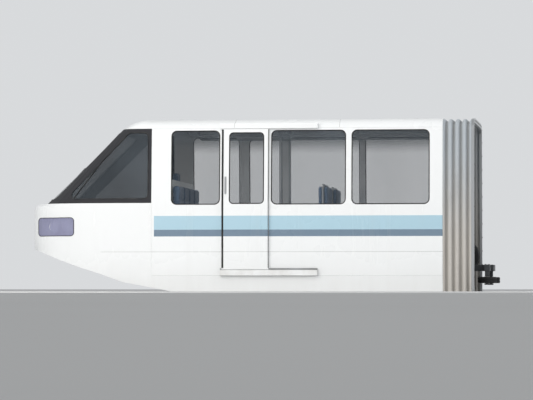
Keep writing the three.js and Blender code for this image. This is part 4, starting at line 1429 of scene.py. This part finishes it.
class MONORAIL_OT_motor(bpy.types.Operator):
    """Fit the finned drive motor with its feet and terminal box"""

    bl_idname = "monorail.motor"
    bl_label = "Drive motor"

    def execute(self, context):
        low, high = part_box("drive_motor")
        x = (low.x + high.x) / 2
        over_fins = 0.0785
        between_fins = 0.068
        outline = [(0, -0.149), (0.050, -0.149), (0.060, -0.145), (0.074, -0.140), (over_fins, -0.133),
                   (over_fins, -0.112)]
        for fin in range(13):
            y = -0.108 + 0.016 * fin
            outline += [(between_fins, y), (between_fins, y + 0.006), (over_fins, y + 0.008),
                        (over_fins, y + 0.012)]
        outline += [(over_fins, 0.120), (over_fins, 0.133), (0.070, 0.142), (0.050, 0.149), (0, 0.149)]
        parts = [spun("casing", outline, (x, 0, 0.205), ACROSS, steps=44)]
        for y in (-0.105, 0.105):
            foot = block("foot", (low.x + 0.004, y - 0.022, DECK), (high.x - 0.004, y + 0.022, 0.116),
                         edge=0.004)
            web = block("web", (x - 0.05, y - 0.012, 0.112), (x + 0.05, y + 0.012, 0.16), edge=0.004)
            parts += [foot, web]
        box = block("terminal_box", (x - 0.052, -0.070, 0.272), (x + 0.052, 0.070, 0.335), edge=0.006)
        lid = block("lid", (x - 0.056, -0.074, 0.334), (x + 0.056, 0.074, 0.343), edge=0.003)
        parts += [box, lid]
        places = [Matrix.Translation((x + dx, dy, z)) for dx, dy, z in self.bolt_places()]
        parts.append(repeated("motor_bolts", bolt_head(0.007, 0.005, 0.005, 0.007), places))
        motor = joined("finned_drive_motor", parts)
        fitted(motor, "front_bogie", "machine_steel", smooth=35)
        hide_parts("drive_motor")
        return {"FINISHED"}

    def bolt_places(self):
        """The corners of the terminal box's lid and of the feet."""
        for across_x, across_y, z in ((0.045, 0.062, 0.3425), (0.062, 0.105, 0.1155)):
            for dx in (-across_x, across_x):
                for dy in (-across_y, across_y):
                    yield dx, dy, z


class MONORAIL_OT_fasteners(bpy.types.Operator):
    """Fit bearing caps and bolts to the bogies, the underframe, the skirts and the bellows ring"""

    bl_idname = "monorail.fasteners"
    bl_label = "Bolts and bearing caps"

    def hexagon(self, radius, height):
        """A bolt's head on its washer."""
        outline = [(0, 0), (radius * 1.5, 0), (radius * 1.5, height * 0.25), (radius, height * 0.25),
                   (radius, height * 0.9), (radius * 0.85, height), (0, height)]
        return spun("bolt", outline, steps=6)

    def execute(self, context):
        for bogie, x in BOGIES.items():
            self.bogie(bogie, x)
        self.skirts()
        self.roof_plugs()
        self.ring()
        self.hatch()
        return {"FINISHED"}

    def bogie(self, bogie, x):
        outline = [(0.0309, 0), (0.062, 0), (0.062, 0.005), (0.050, 0.008), (0.046, 0.013), (0.0309, 0.014)]
        caps = []
        bolts = []
        for out in (1, -1):
            cheek = out * 0.1948
            caps.append(placed(spun("cap", outline, steps=40), facing((0, out, 0), (x, cheek, AXLE_HEIGHT))))
            for turn in range(6):
                angle = math.tau * turn / 6
                place = (x + 0.054 * math.cos(angle), out * 0.1995, AXLE_HEIGHT + 0.054 * math.sin(angle))
                bolts.append(facing((0, out, 0), place))
            for along in (-0.06, 0.06):
                for z in (0.37, 0.40):
                    bolts.append(facing((0, out, 0), (x + along, cheek, z)))
            for along in (-0.33, 0, 0.33):
                for step in (-0.022, 0.022):
                    for across in (0.490, 0.36):
                        bolts.append(facing(UP, (x + along + step, out * across, 0.0998)))
        steel = joined(f"{bogie}_bearing_caps", caps)
        fitted(steel, f"{bogie}_bogie", "machine_steel", smooth=40)
        zinc = repeated(f"{bogie}_bogie_bolts", self.hexagon(0.0065, 0.007), bolts)
        fitted(zinc, f"{bogie}_bogie", "zinc_fasteners")

    def skirts(self):
        """Domed screws in two rows along the skirts; the lower row ends where the nose rises."""
        dome = spun("dome", [(0, 0), (0.009, 0), (0.0085, 0.0012), (0.006, 0.0022), (0, 0.0026)], steps=14)
        places = []
        for out in (1, -1):
            lean = Vector((0, out, -0.075)).normalized()
            for step in range(8):
                x = -1.45 + 0.40 * step
                for z in (-0.062, -0.215):
                    half_width = 0.985 + 0.015 * (z + 0.24) / 0.2
                    if x < 1.75 or z > -0.1:
                        places.append(facing(lean, (x, out * (half_width - 0.0006), z)))
        screws = repeated("skirt_screws", dome, places)
        fitted(screws, "car_body", "body_paint", smooth=60)

    def roof_plugs(self):
        """Rubber plugs over the roof's lifting points and the flat screws along its seams."""
        cap = [(0, -0.002), (0.028, -0.002), (0.028, 0.0004), (0.025, 0.0014), (0.010, 0.0011), (0, 0.0010)]
        plugs = []
        screws = []
        for out in (1, -1):
            lean = Vector((0, out * 0.036, 1)).normalized()
            for x in LIFTING_POINTS:
                plugs.append(facing(lean, (x, out * 0.68, 1.9471)))
            for seam in ROOF_SEAMS:
                for x in (seam - 0.03, seam + 0.03):
                    for y in (0.10, 0.22, 0.34, 0.46, 0.58):
                        screws.append(facing(UP, (x, out * y, 1.9496)))
        rubber = repeated("roof_lifting_plugs", spun("plug", cap, steps=28), plugs)
        fitted(rubber, "car_body", "seal_rubber", smooth=50)
        head = [(0, -0.001), (0.008, -0.001), (0.0075, 0.0002), (0.003, 0.0004), (0, 0.0004)]
        steel = repeated("roof_seam_screws", spun("flat", head, steps=12), screws)
        fitted(steel, "car_body", "zinc_fasteners", smooth=60)

    def ring(self):
        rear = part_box("bellows_ring")[0].x + 0.0003
        outline = spread(section_at(0.034), 34)
        places = [facing((-1, 0, 0), (rear, y, z)) for y, z in outline[1:-1]]
        bolts = repeated("ring_bolts", self.hexagon(0.007, 0.006), places)
        fitted(bolts, "car_body", "zinc_fasteners")

    def hatch(self):
        """The inspection hatch in the bulkhead: panel, rubber edge, hinges, latches and screws."""
        face = BULKHEAD_FACE
        half, foot, top = 0.42, 0.72, 1.70
        inset = 0.08
        panel = block("bulkhead_hatch", (face, -half, foot), (face + 0.005, half, top), edge=0.002)
        pressed = block("pressing", (face - 0.004, inset - half, foot + inset),
                        (face + 0.002, half - inset, top - inset), edge=0.004, segments=3)
        fitted(joined("bulkhead_hatch", [panel, pressed]), "car_body", "cabin_lining")
        self.hatch_gasket(face + 0.001, half, foot, top)
        metal = []
        for z in (0.92, 1.50):
            metal.append(block("leaf", (face - 0.003, 0.385, z - 0.05), (face + 0.001, 0.475, z + 0.05),
                               edge=0.0015))
            pin = [(face - 0.005, 0.432, z - 0.05), (face - 0.005, 0.432, z + 0.05)]
            metal.append(tube("knuckle", pin, 0.006))
            disc = bolt_head(0.024, 0.003, 0.019, 0.006, steps=28)
            metal.append(placed(disc, facing((-1, 0, 0), (face, -0.375, z))))
            metal.append(block("grip", (face - 0.016, -0.381, z - 0.019), (face - 0.004, -0.369, z + 0.019),
                               edge=0.002))
        fitted(joined("hatch_fittings", metal), "car_body", "bare_aluminium")
        screw = spun("screw", [(0, 0), (0.007, 0), (0.006, 0.0015), (0, 0.002)], steps=12)
        places = [(face, y, z) for y in (-0.36, -0.12, 0.12, 0.36) for z in (foot + 0.035, top - 0.035)]
        places += [(face - 0.0028, y, z + dz) for z in (0.92, 1.50) for y in (0.40, 0.46)
                   for dz in (-0.035, 0.035)]
        screws = repeated("hatch_screws", screw, [facing((-1, 0, 0), place) for place in places])
        fitted(screws, "car_body", "zinc_fasteners")

    def hatch_gasket(self, x, half, foot, top):
        """The rubber round the hatch, with rounded corners."""
        corner = 0.03
        rim = []
        for y, z, first in ((half, top, 0), (-half, top, 90), (-half, foot, 180), (half, foot, 270)):
            middle_y = y - math.copysign(corner, y)
            middle_z = z - corner if z == top else z + corner
            for step in range(5):
                angle = math.radians(first + 22.5 * step)
                rim.append((x, middle_y + corner * math.cos(angle), middle_z + corner * math.sin(angle)))
        edge = tube("hatch_gasket", rim, 0.0065, cyclic=True)
        fitted(edge, "car_body", "seal_rubber", smooth=60)


# Studio

class MONORAIL_OT_stage(bpy.types.Operator):
    """Set up the pale floor, the soft lights and the camera"""

    bl_idname = "monorail.stage"
    bl_label = "Studio"

    def execute(self, context):
        setting = studio()
        lowest = CAD_BOX[0][2]
        fresh()
        bpy.ops.mesh.primitive_plane_add(size=setting.floor_size, location=(0.8, 0, lowest - 0.0005))
        floor = bpy.context.object
        floor.name = "studio_floor"
        settle(floor)
        pale = Surface("studio_floor", Roughness=0.9)
        cloudy = pale.noise(0.4, 2.0)
        pale.wear(Base_Color=pale.mixed(cloudy, (0.60, 0.60, 0.595, 1), (0.57, 0.57, 0.565, 1)))
        floor.data.materials.append(pale.material)
        self.sky(setting)
        self.lights(setting)
        self.camera(setting, lowest)
        context.scene.view_settings.view_transform = "Standard"
        return {"FINISHED"}

    def sky(self, setting):
        world = bpy.data.worlds.new("studio_sky")
        world.use_nodes = True
        tree = world.node_tree
        background = tree.nodes["Background"]
        background.inputs["Color"].default_value = (0.93, 0.95, 0.97, 1)
        direction = tree.nodes.new("ShaderNodeTexCoord").outputs["Generated"]
        parts = tree.nodes.new("ShaderNodeSeparateXYZ")
        strength = tree.nodes.new("ShaderNodeMapRange")
        overhead = setting.sky * setting.sky_overhead
        levels = {"From Min": 0.12, "From Max": 0.9, "To Min": setting.sky, "To Max": overhead}
        for socket, level in levels.items():
            strength.inputs[socket].default_value = level
        tree.links.new(direction, parts.inputs[0])
        tree.links.new(parts.outputs[2], strength.inputs["Value"])
        tree.links.new(strength.outputs["Result"], background.inputs["Strength"])
        bpy.context.scene.world = world

    def lights(self, setting):
        places = [
            ("key_light", (4.5, 10.5, 5.4), 13.0, setting.key_power, (1.0, 0.985, 0.96)),
            ("fill_light", (-9.0, 5.0, 5.0), 10.0, setting.key_power * 0.27, (0.95, 0.97, 1.0)),
            ("back_light", (1.0, -9.0, 7.0), 12.0, setting.key_power * 0.45, (0.96, 0.98, 1.0)),
        ]
        for name, place, size, power, colour in places:
            data = bpy.data.lights.new(name, "AREA")
            data.shape = "DISK"
            data.size = size
            data.energy = power
            data.color = colour
            lamp = bpy.data.objects.new(name, data)
            lamp.location = place
            lamp.visible_glossy = False
            aim = Vector((0.8, 0, 0.8)) - Vector(place)
            lamp.rotation_euler = aim.to_track_quat("-Z", "Y").to_euler()
            bpy.context.scene.collection.objects.link(lamp)

    def camera(self, setting, lowest):
        data = bpy.data.cameras.new("photo_camera")
        data.sensor_width = 36.0
        data.lens = 18.0 / math.tan(math.atan(setting.width / 2 / setting.distance))
        data.clip_end = 600.0
        turn, lift = setting.azimuth, setting.elevation
        back = Vector((math.sin(turn) * math.cos(lift), -math.cos(turn) * math.cos(lift), math.sin(lift)))
        middle = (Vector(CAD_BOX[0]) + Vector(CAD_BOX[1])) / 2
        middle.z = lowest + setting.camera_clear - setting.distance * back.z
        view = bpy.data.objects.new("photo_camera", data)
        view.location = middle + back * setting.distance
        view.rotation_euler = (-back).to_track_quat("-Z", "Y").to_euler()
        bpy.context.scene.collection.objects.link(view)
        bpy.context.scene.camera = view


class MONORAIL_PT_panel(bpy.types.Panel):
    """Lists the steps that dress the car"""

    bl_idname = "MONORAIL_PT_panel"
    bl_label = "Monorail cab car"
    bl_space_type = "VIEW_3D"
    bl_region_type = "UI"
    bl_category = "Monorail"

    def draw(self, context):
        for group in (colours(), sizes(), studio()):
            box = self.layout.box()
            for name in group.bl_rna.properties.keys():
                if name not in ("rna_type", "name"):
                    box.prop(group, name)
        for step in STEPS:
            self.layout.operator(step.bl_idname)


STEPS = [
    MONORAIL_OT_stage, MONORAIL_OT_finishes, MONORAIL_OT_gaskets, MONORAIL_OT_door_seals,
    MONORAIL_OT_bellows, MONORAIL_OT_wheels, MONORAIL_OT_headlamps, MONORAIL_OT_wiper,
    MONORAIL_OT_benches, MONORAIL_OT_driver_seat, MONORAIL_OT_desk, MONORAIL_OT_cabin,
    MONORAIL_OT_motor, MONORAIL_OT_fasteners,
]
GROUPS = [CarColours, CarSizes, StudioSettings]


def register():
    for group in [*GROUPS, *STEPS, MONORAIL_PT_panel]:
        bpy.utils.register_class(group)
    bpy.types.Scene.monorail_colours = PointerProperty(type=CarColours)
    bpy.types.Scene.monorail_sizes = PointerProperty(type=CarSizes)
    bpy.types.Scene.monorail_studio = PointerProperty(type=StudioSettings)


def unregister():
    del bpy.types.Scene.monorail_colours
    del bpy.types.Scene.monorail_sizes
    del bpy.types.Scene.monorail_studio
    for group in reversed([*GROUPS, *STEPS, MONORAIL_PT_panel]):
        bpy.utils.unregister_class(group)


def main():
    register()
    for step in STEPS:
        area, name = step.bl_idname.split(".")
        getattr(getattr(bpy.ops, area), name)()


if __name__ == "__main__":
    main()
